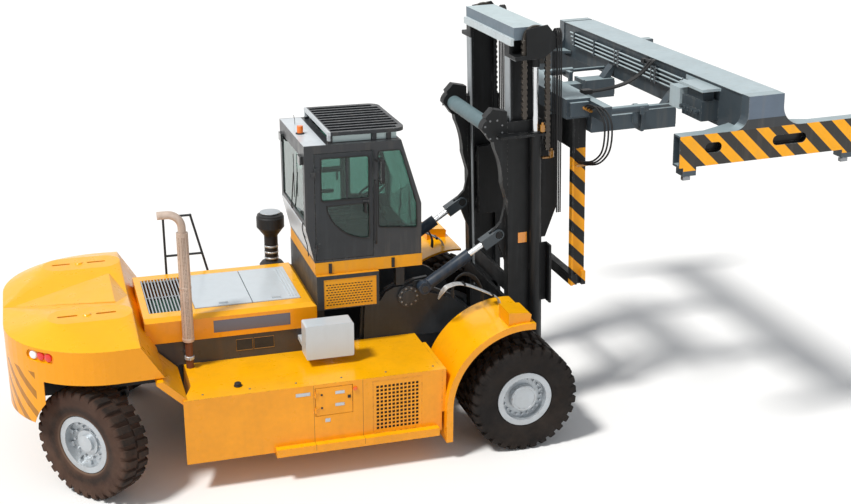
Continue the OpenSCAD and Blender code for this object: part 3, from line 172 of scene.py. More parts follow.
def add_floor():
    """Pale floor that takes the object's shadow."""
    mesh = bpy.data.meshes.new("floor")
    half = 60
    corners = [(-half, -half, 0), (half, -half, 0), (half, half, 0), (-half, half, 0)]
    mesh.from_pydata(corners, [], [(0, 1, 2, 3)])
    floor = add_object("floor", mesh)
    material = bpy.data.materials.new("floor")
    material.use_nodes = True
    shader = material.node_tree.nodes["Principled BSDF"]
    shader.inputs["Base Color"].default_value = (0.9, 0.9, 0.9, 1)
    shader.inputs["Roughness"].default_value = 0.9
    mesh.materials.append(material)


def linear(code):
    """Linear colour from a six digit code."""
    parts = [int(code[i:i + 2], 16) / 255 for i in (0, 2, 4)]
    return tuple(c / 12.92 if c <= 0.04045 else ((c + 0.055) / 1.055) ** 2.4 for c in parts)


class Paint:
    """Builds one procedural material in object coordinates, which are the frame's for a CAD node.

    x, y and z are the truck's metres, or the mast's where leaned.
    """

    def __init__(self, name, colour, rough=0.4, metal=0.0, coat=0.0, leaned=False):
        self.material = bpy.data.materials.new(name)
        self.material.use_nodes = True
        self.tree = self.material.node_tree
        self.shader = self.tree.nodes["Principled BSDF"]
        for key, value in (("Metallic", metal), ("Coat Weight", coat), ("Specular IOR Level", 0.3),
                           ("Coat Roughness", 0.12)):
            self.shader.inputs[key].default_value = value
        self.coords = self.node("TexCoord").outputs["Object"]
        split = self.node("SeparateXYZ", self.coords)
        self.x, self.y, self.z = split.outputs
        self.high = self.z
        self.measure_from(leaned)
        self.geometry = self.node("NewGeometry")
        self.colour = colour
        self.rough = rough

    def node(self, kind, *inputs, **settings):
        made = self.tree.nodes.new("ShaderNode" + kind)
        for key, value in settings.items():
            setattr(made, key, value)
        for socket, value in zip(made.inputs, inputs):
            self.set(socket, value)
        return made

    def set(self, socket, value):
        """Link a socket, or set it to a number, a vector or a colour code."""
        if isinstance(value, bpy.types.NodeSocket):
            self.tree.links.new(value, socket)
        elif isinstance(value, str):
            socket.default_value = (*linear(value), 1)
        elif value is not None:
            socket.default_value = value

    def math(self, operation, a, b=None, c=None):
        return self.node("Math", a, b, c, operation=operation).outputs[0]

    def dot(self, a, b):
        return self.node("VectorMath", a, b, operation="DOT_PRODUCT").outputs["Value"]

    def measure_from(self, leaned):
        """Measure x and z from the front axle and the ground, along the mast where leaned."""
        if not leaned:
            self.x = self.math("SUBTRACT", self.x, AXLE_X)
            return
        dx = self.math("SUBTRACT", self.x, AXLE_X + PIN_X)
        dz = self.math("SUBTRACT", self.z, PIN_Z)
        along = self.math("MULTIPLY_ADD", dx, math.cos(TILT), self.math("MULTIPLY", dz, math.sin(TILT)))
        up = self.math("MULTIPLY_ADD", dx, -math.sin(TILT), self.math("MULTIPLY", dz, math.cos(TILT)))
        self.x = self.math("ADD", along, PIN_X)
        self.z = self.math("ADD", up, PIN_Z)

    def stripes(self, value, period, share=0.5):
        """1 on each band of a row of slanted stripes, whose place is value in metres."""
        turn = self.math("FRACT", self.math("DIVIDE", value, period))
        return self.between(turn, 0.0, share, 0.012)

    def painted_light_yellow(self):
        """Yellow paint with painted light: a little paler where it faces up, and a painted shade of orange on
        its sides.
        """
        up = self.ramp(self.dot(self.geometry.outputs["Normal"], UP), 0.1, 0.9)
        return self.mix(up, YELLOW_PAINTED_SHADE, YELLOW)

    def both(self, a, b):
        return self.math("MULTIPLY", a, b)

    def either(self, a, b):
        return self.math("MAXIMUM", a, b)

    def outside(self, low, high):
        """1 where the place is further than high to either side."""
        return self.ramp(self.math("ABSOLUTE", self.y), low, high)

    def inside(self, low, high):
        """1 where the place is nearer than low to the middle."""
        return self.ramp(self.math("ABSOLUTE", self.y), low, high, 1, 0)

    def mix(self, factor, a, b):
        """From a to b by factor."""
        made = self.node("Mix", data_type="RGBA")
        for socket, value in ((0, factor), (6, a), (7, b)):
            self.set(made.inputs[socket], value)
        return made.outputs[2]

    def noise(self, scale, detail=4, vector=None, rough=0.55):
        return self.node("TexNoise", vector or self.coords, None, scale, detail, rough).outputs["Fac"]

    def ramp(self, value, low, high, to_low=0.0, to_high=1.0):
        return self.node("MapRange", value, low, high, to_low, to_high).outputs[0]

    def between(self, value, low, high, soft=0.002):
        """1 where value lies from low to high."""
        rise = self.ramp(value, low - soft, low + soft)
        fall = self.ramp(value, high - soft, high + soft, 1, 0)
        return self.both(rise, fall)

    def box(self, **ranges):
        """1 inside a box of the truck or the mast; None leaves one end of an axis open."""
        found = None
        for axis, (low, high) in ranges.items():
            low, high = -99 if low is None else low, 99 if high is None else high
            one = self.between(getattr(self, axis), low, high)
            found = self.both(found, one) if found else one
        return found

    def facing(self, axis):
        """1 where the surface looks along axis."""
        return self.ramp(self.dot(self.geometry.outputs["True Normal"], axis), 0.6, 0.8)

    def bevelled(self, radius):
        """Normal of the surface with its edges rounded to radius."""
        return self.node("Bevel", radius, samples=4).outputs[0]

    def mottled(self, colour, variation):
        wide = self.ramp(self.noise(1.7, 3), 0.3, 0.7, 1 - variation, 1 + variation)
        fine = self.ramp(self.noise(14, 3), 0.3, 0.7, 1 - variation / 2, 1 + variation / 2)
        shade = self.node("HueSaturation")
        self.set(shade.inputs["Value"], self.both(wide, fine))
        self.set(shade.inputs["Color"], colour)
        return shade.outputs[0]

    def streaked(self, colour, share, dirt):
        """Upright streaks of dirt."""
        tall = self.node("VectorMath", self.coords, (9, 9, 0.8), operation="MULTIPLY").outputs[0]
        run = self.ramp(self.noise(1, 4, tall), 0.52, 0.72)
        return self.mix(self.both(run, share), colour, dirt)

    def dusty(self, colour, share, dirt):
        """Patches of dust, more of it near the ground."""
        low = self.ramp(self.high, 0.0, 2.2, 1.0, 0.12)
        patch = self.ramp(self.noise(3.1, 6, rough=0.7), 0.38, 0.75)
        return self.mix(self.both(self.both(low, patch), share), colour, dirt)

    def worn(self, colour, bare):
        """Chipped edges."""
        level = self.dot(self.bevelled(0.012), self.geometry.outputs["Normal"])
        edge = self.ramp(level, 0.80, 0.97, 1, 0)
        chips = self.ramp(self.noise(26, 5, rough=0.7), 0.50, 0.60)
        return self.mix(self.both(edge, chips), colour, bare)

    def finish(self, *layers, wear=None, dust=0.35, streaks=0.25, bump=0.02, bump_scale=220, bevel=0.006,
               dust_colour="8a7f70", variation=0.06):
        """The material: layers of a mask and a colour on the base colour, then mottling, streaks, dust,
        worn edges, fine bump and rounded edges.
        """
        result = self.colour
        for mask, colour in layers:
            result = self.mix(mask, result, colour)
        result = self.mottled(result, variation)
        if streaks:
            result = self.streaked(result, streaks, dust_colour)
        if dust:
            result = self.dusty(result, dust, dust_colour)
        if wear:
            result = self.worn(result, wear)
        self.set(self.shader.inputs["Base Color"], result)
        smooth, dull = max(0.05, self.rough - 0.07), min(1, self.rough + 0.1)
        self.set(self.shader.inputs["Roughness"], self.ramp(self.noise(5, 4), 0.3, 0.7, smooth, dull))
        rises = self.node("Bump")
        rises.inputs["Strength"].default_value = bump
        rises.inputs["Distance"].default_value = 0.01
        self.set(rises.inputs["Height"], self.noise(bump_scale, 3))
        if bevel:
            self.set(rises.inputs["Normal"], self.bevelled(bevel))
        self.set(self.shader.inputs["Normal"], rises.outputs[0])
        return self.material


YELLOW = "f9b200"
# Painted shade: the orange that yellow faces take on their sides.
YELLOW_PAINTED_SHADE = "ee9a00"
WARM_DUST = "9a6418"
COOL_DUST = "5c6064"
CHARCOAL = "272b2f"
MAST_BLACK = "0c0e10"
# Painted shade and light for slate: the darker colour for the sides, the paler one for faces that look up.
SLATE_PAINTED_SHADE = "414c54"
SLATE_PAINTED_LIGHT = "93a4aa"
BARE_YELLOW = "6b4a18"   # where yellow paint is chipped
BARE_DARK = "6a6a6a"     # where dark paint is chipped
AMBER = "ffae08"
UP = (0, 0, 1)
MAST_DIRT = dict(dust=0.15, streaks=0.08, dust_colour=COOL_DUST)


def body_paint():
    """Yellow tanks and fenders with painted light on their tops and painted shade on their sides, dark seams,
    and painted shade in the recess behind the perforated plates.
    """
    paint = Paint("body_paint", YELLOW, rough=0.32, coat=0.4)
    paint.colour = paint.painted_light_yellow()
    seams = paint.either(paint.box(x=(-2.901, -2.896), z=(0.43, 1.31)),
                         paint.box(x=(-2.247, -2.242), z=(0.43, 1.31)))
    seams = paint.both(seams, paint.outside(1.975, 1.978))
    # Painted shade: the recess behind the perforated plates is dark brown.
    recess_painted_shade = paint.both(paint.box(x=(-2.12, -1.43), z=(0.51, 1.28)), paint.inside(1.972, 1.9745))
    return paint.finish((seams, "5a3a08"), (recess_painted_shade, "3a2006"),
                        wear=BARE_YELLOW, dust=0.2, streaks=0.08, dust_colour=WARM_DUST)


def ballast_paint():
    """Yellow with painted light on its tops and painted shade on its sides, and worn hazard stripes down the
    rear of the skirt.
    """
    paint = Paint("ballast_paint", YELLOW, rough=0.32, coat=0.15)
    paint.colour = paint.painted_light_yellow()
    band = paint.box(x=(None, -6.3), z=(1.0, 1.72))
    slant = paint.stripes(paint.math("ADD", paint.math("ABSOLUTE", paint.y), paint.z), 0.28, 0.42)
    return paint.finish((paint.both(band, slant), "a86c08"),
                        wear=BARE_YELLOW, dust=0.06, streaks=0.03, variation=0.03,
                        dust_colour=WARM_DUST, bump=0.008)


def hood_paint():
    """Yellow hood on charcoal side panels, the yellow with painted light on its top and painted shade on its
    sides.
    """
    paint = Paint("hood_paint", YELLOW, rough=0.32, coat=0.4)
    paint.colour = paint.painted_light_yellow()
    low = paint.box(z=(None, 1.659))
    return paint.finish((low, "34363a"), wear="6b5a3a", dust=0.2, streaks=0.06, dust_colour=WARM_DUST)


def cab_base_paint():
    """Charcoal base with the yellow sill and side plates."""
    paint = Paint("cab_base_paint", CHARCOAL, rough=0.45)
    sill = paint.box(z=(2.378, None))
    plates = paint.both(paint.box(x=(-2.49, -1.76), z=(1.905, 2.32)), paint.outside(0.8805, 0.8815))
    return paint.finish((paint.either(sill, plates), "e09a10"), wear="6b5a3a", dust=0.25, streaks=0.1)


def cab_paint():
    """Dark cab with white rear wall and white roof behind the guard."""
    paint = Paint("cab_paint", "2a2d31", rough=0.38, coat=0.25)
    wall = paint.both(paint.box(x=(-2.72, -2.56), y=(-0.79, 0.79), z=(2.6, 3.06)), paint.facing((-1, 0, 0)))
    roof = paint.both(paint.box(x=(-2.71, -2.4), y=(-0.8, 0.8), z=(4.14, 4.2)), paint.facing(UP))
    return paint.finish((paint.either(wall, roof), "cdd4da"), wear="70706c", dust=0.22, streaks=0.12)


def outer_mast_paint():
    """Near black mast with the grey cross tube between its ears."""
    paint = Paint("outer_mast_paint", MAST_BLACK, rough=0.5, leaned=True)
    dx = paint.math("SUBTRACT", paint.x, EAR_X / 1000)
    dz = paint.math("SUBTRACT", paint.z, EAR_Z / 1000)
    reach = paint.math("SQRT", paint.math("ADD", paint.both(dx, dx), paint.both(dz, dz)))
    tube = paint.both(paint.ramp(reach, 0.107, 0.109, 1, 0), paint.inside(0.769, 0.770))
    return paint.finish((tube, "64797f"), wear=BARE_DARK, **MAST_DIRT)


def inner_mast_paint():
    """Dark rails with pale rear faces, and the pale crossbeam with painted light on its top and its white
    lip.
    """
    paint = Paint("inner_mast_paint", MAST_BLACK, rough=0.5, leaned=True)
    rear = paint.both(paint.box(x=(0.2, 0.246), z=(None, 5.2)), paint.outside(0.66, 0.662))
    between_sheaves = paint.inside(0.972, 0.974)
    beam = paint.both(paint.box(x=(None, 0.72), z=(5.442, None)), between_sheaves)
    lip = paint.both(paint.box(x=(0.2, 0.27), z=(5.36, 5.47)), between_sheaves)
    # Painted light: the crossbeam's faces that look up are paler.
    return paint.finish((rear, "9aa0a4"), (beam, "6d7b86"),
                        (paint.both(beam, paint.facing(UP)), "b9c8cc"), (lip, "c4ced2"),
                        wear=BARE_DARK, dust=0.15, streaks=0.1, dust_colour=COOL_DUST)


def carriage_paint():
    """Dark carriage, its slate head with painted light on its top and painted shade on its sides, and the
    posts with amber and black stripes.
    """
    paint = Paint("carriage_paint", MAST_BLACK, rough=0.5, leaned=True)
    posts = paint.both(paint.box(x=(1.07, 1.31), z=(1.89, 3.895)), paint.outside(0.955, 0.957))
    slant = paint.stripes(paint.math("ADD", paint.x, paint.z), 0.36)
    head = paint.box(z=(4.3295, None))
    # Painted light on the head's faces that look up, painted shade on the others.
    slate = paint.mix(paint.facing(UP), SLATE_PAINTED_SHADE, SLATE_PAINTED_LIGHT)
    return paint.finish((paint.both(posts, slant), "f0a010"), (head, slate), wear="808080", **MAST_DIRT)


def arm_paint():
    """Slate arms with painted light on their tops and painted shade on their sides; slanted amber and dark
    stripes along the outside of the end beams, and painted shade, near black, on the walls inside their
    slots.
    """
    paint = Paint("arm_paint", SLATE_PAINTED_SHADE, rough=0.42, coat=0.2, leaned=True)
    face = paint.outside(3.024, 3.026)
    beam = paint.both(face, paint.box(z=(4.05, 4.501)))
    hump = paint.both(face, paint.box(z=(4.501, None)))
    foot = paint.both(face, paint.box(z=(4.501, 4.625)))
    slant = paint.stripes(paint.math("ADD", paint.x, paint.z), 0.36)
    painted_shade_slots = paint.either(paint.box(x=(2.0, 2.24), z=(4.25, 4.39)),
                         paint.box(x=(2.945, 3.435), z=(4.25, 4.39)))
    # Painted light on the faces that look up; the slots' inner walls are near black as painted shade.
    return paint.finish((hump, "5f6c7b"), (foot, "35383b"),
                        (beam, paint.mix(slant, "2f2c28", AMBER)), (paint.facing(UP), SLATE_PAINTED_LIGHT),
                        (paint.both(painted_shade_slots, paint.inside(3.024, 3.0265)), "0c0c0d"),
                        wear="9a9a96", dust=0.15, streaks=0.12)


def beam_paint():
    """Dark slate beam, its darkness partly painted shade, with painted light on its top, a painted highlight
    along the upper rear faces of its pipes, and its pale valve box and lid.
    """
    paint = Paint("beam_paint", "39434a", rough=0.45, leaned=True)
    # Painted light: the top is pale where it faces up.
    top = paint.both(paint.facing(UP), paint.box(x=(2.58, None), z=(4.9, None)))
    box = paint.box(x=(None, 2.602), y=(-1.66, -1.355), z=(4.469, 4.87))
    lid = paint.box(x=(None, 2.602), y=(-2.3, -1.655), z=(4.829, 4.87))
    # Painted highlight: the pipes are pale only where they face up and to the rear.
    pipes = paint.both(paint.box(x=(2.535, 2.568), z=(4.6, 4.82)), paint.facing((-0.7, 0, 0.7)))
    # The real pale valve box and lid, with the painted light and the painted highlight.
    pale = paint.either(paint.either(top, pipes), paint.either(box, lid))
    return paint.finish((pale, "a9b8be"), wear="8a8a86", dust=0.2, streaks=0.15)


def slate_paint():
    paint = Paint("slate_paint", SLATE_PAINTED_SHADE, rough=0.45)
    # Painted light on the faces that look up, painted shade in the darker slate of the sides.
    return paint.finish((paint.facing(UP), SLATE_PAINTED_LIGHT), wear="9a9a96", dust=0.15, streaks=0.15)


def stack_metal():
    """Perforated sleeve, its holes drawn as dark dots of painted shade, with a rusty pipe below it."""
    paint = Paint("stack_metal", "c9b6a8", rough=0.5, metal=0.3)
    # Painted shade: dark dots where the sleeve's holes are.
    holes = paint.node("TexVoronoi", paint.coords)
    holes.inputs["Scale"].default_value = 55
    holes.inputs["Randomness"].default_value = 0.15
    painted_hole_shade = paint.both(paint.ramp(holes.outputs["Distance"], 0.28, 0.36, 1, 0), paint.box(z=(1.75, 3.15)))
    return paint.finish((painted_hole_shade, "6a584c"), (paint.box(z=(None, 1.69)), "6e4632"),
                        dust=0.2, streaks=0.25, dust_colour="8a6a50", variation=0.1)


def rod_paint():
    """Chrome tilt rod with its dark painted fork."""
    paint = Paint("rod_paint", "d8dadc", rough=0.2)
    along = paint.math("MULTIPLY_ADD", paint.math("SUBTRACT", paint.x, -1.06), 0.8444,
                       paint.math("MULTIPLY", paint.math("SUBTRACT", paint.z, 2.04), 0.5357))
    fork = paint.ramp(along, 0.998, 1.000)
    paint.set(paint.shader.inputs["Metallic"], paint.math("SUBTRACT", 1.0, fork))
    return paint.finish((fork, "3f474d"), dust=0.05, streaks=0.05)


def rear_rubber(sign, name):
    """Dusty brown sidewall with a pale bead and a dark tread, measured from the wheel's axle."""
    paint = Paint("rear_rubber_" + name, "3f2d25", rough=0.9)
    middle = steered(0, STEERED_Y, WHEEL_R, sign)
    spot = paint.node("VectorMath", paint.coords, middle, operation="SUBTRACT").outputs[0]
    across = paint.node("VectorMath", spot, STEERED @ Vector((0, 1, 0)), operation="CROSS_PRODUCT").outputs[0]
    radius = paint.node("VectorMath", across, operation="LENGTH").outputs["Value"]
    ring = paint.both(paint.ramp(radius, 0.43, 0.47), paint.ramp(radius, 0.50, 0.56, 1, 0))
    return paint.finish((ring, "2a211d"), (paint.ramp(radius, 0.40, 0.425, 1, 0), "6b5648"),
                        (paint.ramp(radius, 0.70, 0.742), "1d1917"),
                        dust=0.5, streaks=0, dust_colour="6e5444", bump=0.12, bump_scale=90)


def lamps_paint():
    """Orange beacon; the work lamps on the cab are dark."""
    paint = Paint("lamps_paint", "f07818", rough=0.2, coat=0.6)
    dark = paint.box(z=(None, 4.15))
    return paint.finish((dark, "222426"), dust=0, streaks=0)


def lens(name, colour, glow=0.0):
    paint = Paint(name, colour, rough=0.12, coat=0.8)
    if glow:
        paint.set(paint.shader.inputs["Emission Color"], colour)
        paint.shader.inputs["Emission Strength"].default_value = glow
    return paint.finish(dust=0, streaks=0, variation=0.03, bump=0.05, bump_scale=160)


def seat_fabric():
    """Dark woven cloth."""
    paint = Paint("seat_fabric", "232528", rough=0.92)
    paint.shader.inputs["Sheen Weight"].default_value = 0.3
    x, y, z = (paint.math("SINE", paint.both(axis, 2600.0)) for axis in (paint.x, paint.y, paint.z))
    weave = paint.math("ADD", paint.both(x, y), paint.both(y, z))
    return paint.finish((paint.ramp(weave, -1, 1), "3b3e43"),
                        dust=0.1, streaks=0, bump=0.15, bump_scale=700, bevel=0)


def glass():
    """Tinted glass, a little uneven in its tint."""
    paint = Paint("glass", "a4c8be")
    paint.shader.inputs["Transmission Weight"].default_value = 0.96
    paint.shader.inputs["IOR"].default_value = 1.45
    paint.shader.inputs["Roughness"].default_value = 0.03
    tint = paint.ramp(paint.noise(0.9, 2), 0.3, 0.7, 0.0, 1.0)
    paint.set(paint.shader.inputs["Base Color"], paint.mix(tint, "6f9c90", "93b5ac"))
    return paint.material


def guard_paint():
    """Near black guard with its silver rear bar."""
    paint = Paint("guard_paint", "1d2126", rough=0.4, coat=0.2)
    rear = paint.box(x=(-2.37, -2.325), z=(4.2, None))
    return paint.finish((rear, "c2c8cc"), wear="80868a", dust=0.15, streaks=0.1)


PLAIN = {
    "charcoal_paint": dict(colour=CHARCOAL, rough=0.45, coat=0.1, wear="70706c", streaks=0.1,
                           dust_colour=COOL_DUST),
    "mast_paint": dict(colour=MAST_BLACK, rough=0.45, wear=BARE_DARK, **MAST_DIRT),
    "white_paint": dict(colour="c3ccd3", rough=0.35, coat=0.3, dust=0.05, streaks=0.05, variation=0.02),
    "silver_paint": dict(colour="b9bfc4", rough=0.38, metal=0.55, wear="6b5a48", dust=0.3, streaks=0),
    "black_plastic": dict(colour="1f2022", rough=0.5, dust=0.25, streaks=0.05, bump=0.06, bump_scale=500),
    "engine_paint": dict(colour="2f6d5a", rough=0.5, dust=0.4),
    "chrome": dict(colour="d8dadc", rough=0.16, metal=1, dust=0, streaks=0.08, bump=0.005),
    "steel": dict(colour="8f9296", metal=0.9, dust=0.1, streaks=0.1, dust_colour="4a3a2c"),
    "cylinder_paint": dict(colour="1f2d3c", rough=0.5, wear="808488", dust=0.2, streaks=0.1),
    "rubber": dict(colour="171413", rough=0.9, streaks=0, dust_colour="4a3c32", bump=0.12, bump_scale=90),
    "hose_rubber": dict(colour="191a1c", rough=0.48, dust=0.15, streaks=0, bump=0.05,
                        bump_scale=400, bevel=0),
    "chain_steel": dict(colour="4c4742", rough=0.42, metal=0.75, wear="a09a92", dust=0.15, streaks=0.1,
                        dust_colour="2c2620"),
}


def plain(name):
    """A material of one colour, which the table above describes."""
    looks = dict(PLAIN[name])
    base = {key: looks.pop(key) for key in ("colour", "rough", "metal", "coat") if key in looks}
    paint = Paint(name, **base)
    return paint.finish(**looks)


SCHEME = {
    ballast_paint: ["counterweight"],
    hood_paint: ["hood"],
    body_paint: ["side_tank_*", "tank_door", "fenders"],
    guard_paint: ["cab_roof_guard"],
    "charcoal_paint": ["chassis_frame", "front_axle", "rear_axle", "cab_door_*", "knuckle_*", "handrail"],
    cab_base_paint: ["cab_base"],
    cab_paint: ["cab_shell"],
    "mast_paint": ["lift_barrels"],
    outer_mast_paint: ["outer_mast"],
    inner_mast_paint: ["inner_mast"],
    carriage_paint: ["carriage"],
    slate_paint: ["sideshift_frame"],
    beam_paint: ["spreader_beam"],
    arm_paint: ["spreader_arm_*"],
    "white_paint": ["hood_lid_rear", "hood_lid_front", "control_box"],
    "silver_paint": ["hood_grille", "front_rims_*", "rear_rim_*"],
    stack_metal: ["exhaust_stack"],
    "black_plastic": ["air_precleaner", "driver_seat", "console", "mirrors"],
    "engine_paint": ["engine_block"],
    "chrome": ["lift_rods"],
    rod_paint: ["tilt_rod_*"],
    "steel": ["twistlock_*_rear", "twistlock_*_front"],
    "chain_steel": ["lift_chains"],
    "hose_rubber": ["mast_hoses", "spreader_hoses"],
    "cylinder_paint": ["tilt_barrel_*"],
    "rubber": ["front_tyres_*"],
    lamps_paint: ["lamps"],
    glass: ["cab_glass"],
}


def paint_nodes():
    """Give each CAD node its material; a star stands for right and left."""
    for make, names in SCHEME.items():
        material = plain(make) if isinstance(make, str) else make()
        for name in {n.replace("*", side) for n in names for side in ("right", "left")}:
            mesh = nodes[name].data
            mesh.materials.clear()
            mesh.materials.append(material)
            for face in mesh.polygons:
                face.material_index = 0


def smooth(route, steps, closed):
    """Points of a smooth curve through the route's points."""
    points = [Vector(p) for p in route]
    n = len(points)
    curve = []
    for i in range(n if closed else n - 1):
        near = range(i - 1, i + 3)
        a, b, c, d = (points[k % n if closed else min(max(k, 0), n - 1)] for k in near)
        for k in range(steps):
            t = k / steps
            curve.append(0.5 * (2 * b + (c - a) * t + (2 * a - 5 * b + 4 * c - d) * t * t
                                + (3 * b - a - 3 * c + d) * t ** 3))
    return curve if closed else curve + [points[-1]]


def circle(middle, across, up, r, sides):
    turns = [2 * math.pi * k / sides for k in range(sides)]
    return [middle + r * (math.cos(a) * across + math.sin(a) * up) for a in turns]


class Shape:
    """Geometry of one piece, drawn in millimetres that place turns into the frame's points."""

    def __init__(self, place=truck):
        self.mesh = bmesh.new()
        self.place = place

    def skin(self, rings, closed=False):
        """Faces from ring to ring, with a cap at both ends unless the rings close on themselves."""
        rows = [[self.mesh.verts.new(self.place(*p)) for p in ring] for ring in rings]
        pairs = list(zip(rows, rows[1:]))
        if closed:
            pairs.append((rows[-1], rows[0]))
        else:
            self.mesh.faces.new(rows[0][::-1])
            self.mesh.faces.new(rows[-1])
        for a, b in pairs:
            for i in range(len(a)):
                j = (i + 1) % len(a)
                self.mesh.faces.new((a[i], a[j], b[j], b[i]))

    def block(self, low, high, chamfer=0):
        """Box with its upright edges cut off by chamfer."""
        (x0, y0, z0), (x1, y1, z1), c = low, high, chamfer
        plan = [(x0, y0), (x1, y0), (x1, y1), (x0, y1)]
        if c:
            plan = [(x0 + c, y0), (x1 - c, y0), (x1, y0 + c), (x1, y1 - c),
                    (x1 - c, y1), (x0 + c, y1), (x0, y1 - c), (x0, y0 + c)]
        self.skin([[(x, y, z) for x, y in plan] for z in (z0, z1)])

    def plate(self, outline, y0, y1):
        """XZ outline from y0 to y1."""
        self.skin([[(x, y, z) for x, z in outline] for y in (y0, y1)])

    def tube(self, route, r, sides=10, steps=4, closed=False):
        """Round tube along a smooth curve through the route's points."""
        curve = smooth(route, steps, closed)
        last = len(curve) - 1
        rings, across = [], None
        for i, point in enumerate(curve):
            if closed:
                along = (curve[0 if i == last else i + 1] - curve[i - 1]).normalized()
            else:
                along = (curve[min(i + 1, last)] - curve[max(i - 1, 0)]).normalized()
            if across is None:
                across = along.orthogonal()
            across = (across - along * across.dot(along)).normalized()
            rings.append(circle(point, across, along.cross(across), r, sides))
        self.skin(rings, closed)

    def turned(self, at, axis, profile, sides=24):
        """Solid turned about axis through at; the profile lists radius and distance along the axis."""
        at, axis = Vector(at), Vector(axis).normalized()
        across = axis.orthogonal().normalized()
        up = axis.cross(across)
        self.skin([circle(at + axis * d, across, up, r, sides) for r, d in profile])

    def bolt(self, at, axis, r=14, h=10):
        """Hexagon head on its washer."""
        self.turned(at, axis, [(r * 1.35, 0), (r * 1.35, h * 0.25)], 16)
        self.turned(at, axis, [(r, h * 0.2), (r, h * 0.9), (r * 0.8, h)], 6)

    def piece(self, name, body, material, bevel=0.0):
        """The finished piece, riding on body; bevel in millimetres."""
        if bevel:
            sharp = [e for e in self.mesh.edges if len(e.link_faces) == 2 and e.calc_face_angle(0) > 0.6]
            bmesh.ops.bevel(self.mesh, geom=sharp, offset=bevel / 1000, segments=2, affect="EDGES",
                            clamp_overlap=True)
        bmesh.ops.recalc_face_normals(self.mesh, faces=self.mesh.faces)
        data = bpy.data.meshes.new(name)
        self.mesh.to_mesh(data)
        self.mesh.free()
        data.materials.append(material)
        data.polygons.foreach_set("use_smooth", [True] * len(data.polygons))
        data.set_sharp_from_angle(angle=math.radians(35))
        made = add_object(name, data)
        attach(made, body)
        return made


def boxes(name, body, material, corners, bevel=0.0, chamfer=0, place=truck):
    """A piece made of boxes, each given by two corners."""
    shape = Shape(place)
    for low, high in corners:
        shape.block(low, high, chamfer)
    shape.piece(name, body, material, bevel)


SIDES = ((-1, "right"), (1, "left"))   # sign of y and name


# Outlines of the cab's panes, x and z in truck millimetres as in the part
DOOR_WINDOW = [(-2480, 3400), (-1830, 3400), (-1830, 3990), (-2480, 3990)]
DOOR_LOW_WINDOW = [(-1830, 3340)] + [
    (-1830 + 600 * math.cos(math.radians(a)), 3440 + 600 * math.sin(math.radians(a)))
    for a in range(190, 271, 10)]
QUARTER_WINDOW = [(-1700, 2980), (-1160, 2930), (-1170, 3280), (-1390, 4040), (-1700, 4040)]
WINDSCREEN = [(-1126, 2752), (-1120, 2752), (-1120, 3272), (-1394, 4083), (-1400, 4081), (-1126, 3270)]


def add_windows(pane, trim):
    shape = Shape()
    shape.plate(WINDSCREEN, -743, 743)
    shape.piece("windscreen", "truck", pane)
    for sign, name in SIDES:
        door_panes(sign, name, pane)
        door_trim(sign, name, trim)
        cab_trim(sign, name, trim)
    wipers(trim)


def door_panes(sign, name, pane):
    shape = Shape()
    for outline in (DOOR_WINDOW, DOOR_LOW_WINDOW):
        shape.plate(outline, sign * (CAB_HALF - 23), sign * (CAB_HALF - 17))
    shape.piece("door_panes_" + name, "cab_door_" + name, pane)


def window_rubber(shape, outline, sign):
    shape.tube([(x, sign * (CAB_HALF + 2), z) for x, z in softened(outline)], 9, 8, 1, True)


def door_trim(sign, name, trim):
    """Rubber round the door's panes, and the runner and grip of its sliding window."""
    shape = Shape()
    window_rubber(shape, DOOR_WINDOW, sign)
    window_rubber(shape, DOOR_LOW_WINDOW, sign)
    runner, grip = sign * (CAB_HALF - 4), sign * (CAB_HALF + 12)
    shape.block((-2476, runner - 4, 3402), (-1834, runner + 4, 3414))
    shape.block((-1900, grip - 10, 3200), (-1868, grip + 10, 3330), 6)
    shape.piece("door_trim_" + name, "cab_door_" + name, trim, 1.5)


def cab_trim(sign, name, trim):
    """Rubber round the quarter window, and the grab rail in front of the door."""
    shape = Shape()
    window_rubber(shape, QUARTER_WINDOW, sign)
    rail = ((0, 2760), (50, 2790), (55, 3000), (55, 3400), (50, 3610), (0, 3640))
    shape.tube([(-1745, sign * (CAB_HALF + out), z) for out, z in rail], 11)
    shape.piece("cab_trim_" + name, "truck", trim)


def wipers(trim):
    """Two wipers on the windscreen and one on the rear window."""
    shape = Shape()
    for y, lean in ((-300, 90), (300, -90)):
        shape.tube([(-1092, y, 2720), (-1088, y, 2790), (-1090, y + lean, 3180)], 8, 8)
        shape.block((-1097, y + lean - 9, 2880), (-1089, y + lean + 9, 3250))
    shape.tube([(-2704, 60, 3090), (-2712, 50, 3130), (-2712, -140, 3640)], 8, 8)
    shape.block((-2711, -146, 3300), (-2703, -132, 3900))
    shape.piece("wipers", "truck", trim, 1)


def softened(outline, cut=45):
    """The outline with its corners rounded."""
    result, n = [], len(outline)
    for i, (x, z) in enumerate(outline):
        here = Vector((x, z))
        before, after = Vector(outline[i - 1]), Vector(outline[(i + 1) % n])
        if (here - before).angle(after - here) < 0.5:
            result.append((x, z))
            continue
        a = here + (before - here).normalized() * cut
        b = here + (after - here).normalized() * cut
        for t in (0, 0.25, 0.5, 0.75, 1):
            q = a * (1 - t) ** 2 + here * 2 * t * (1 - t) + b * t * t
            result.append((q.x, q.y))
    return result


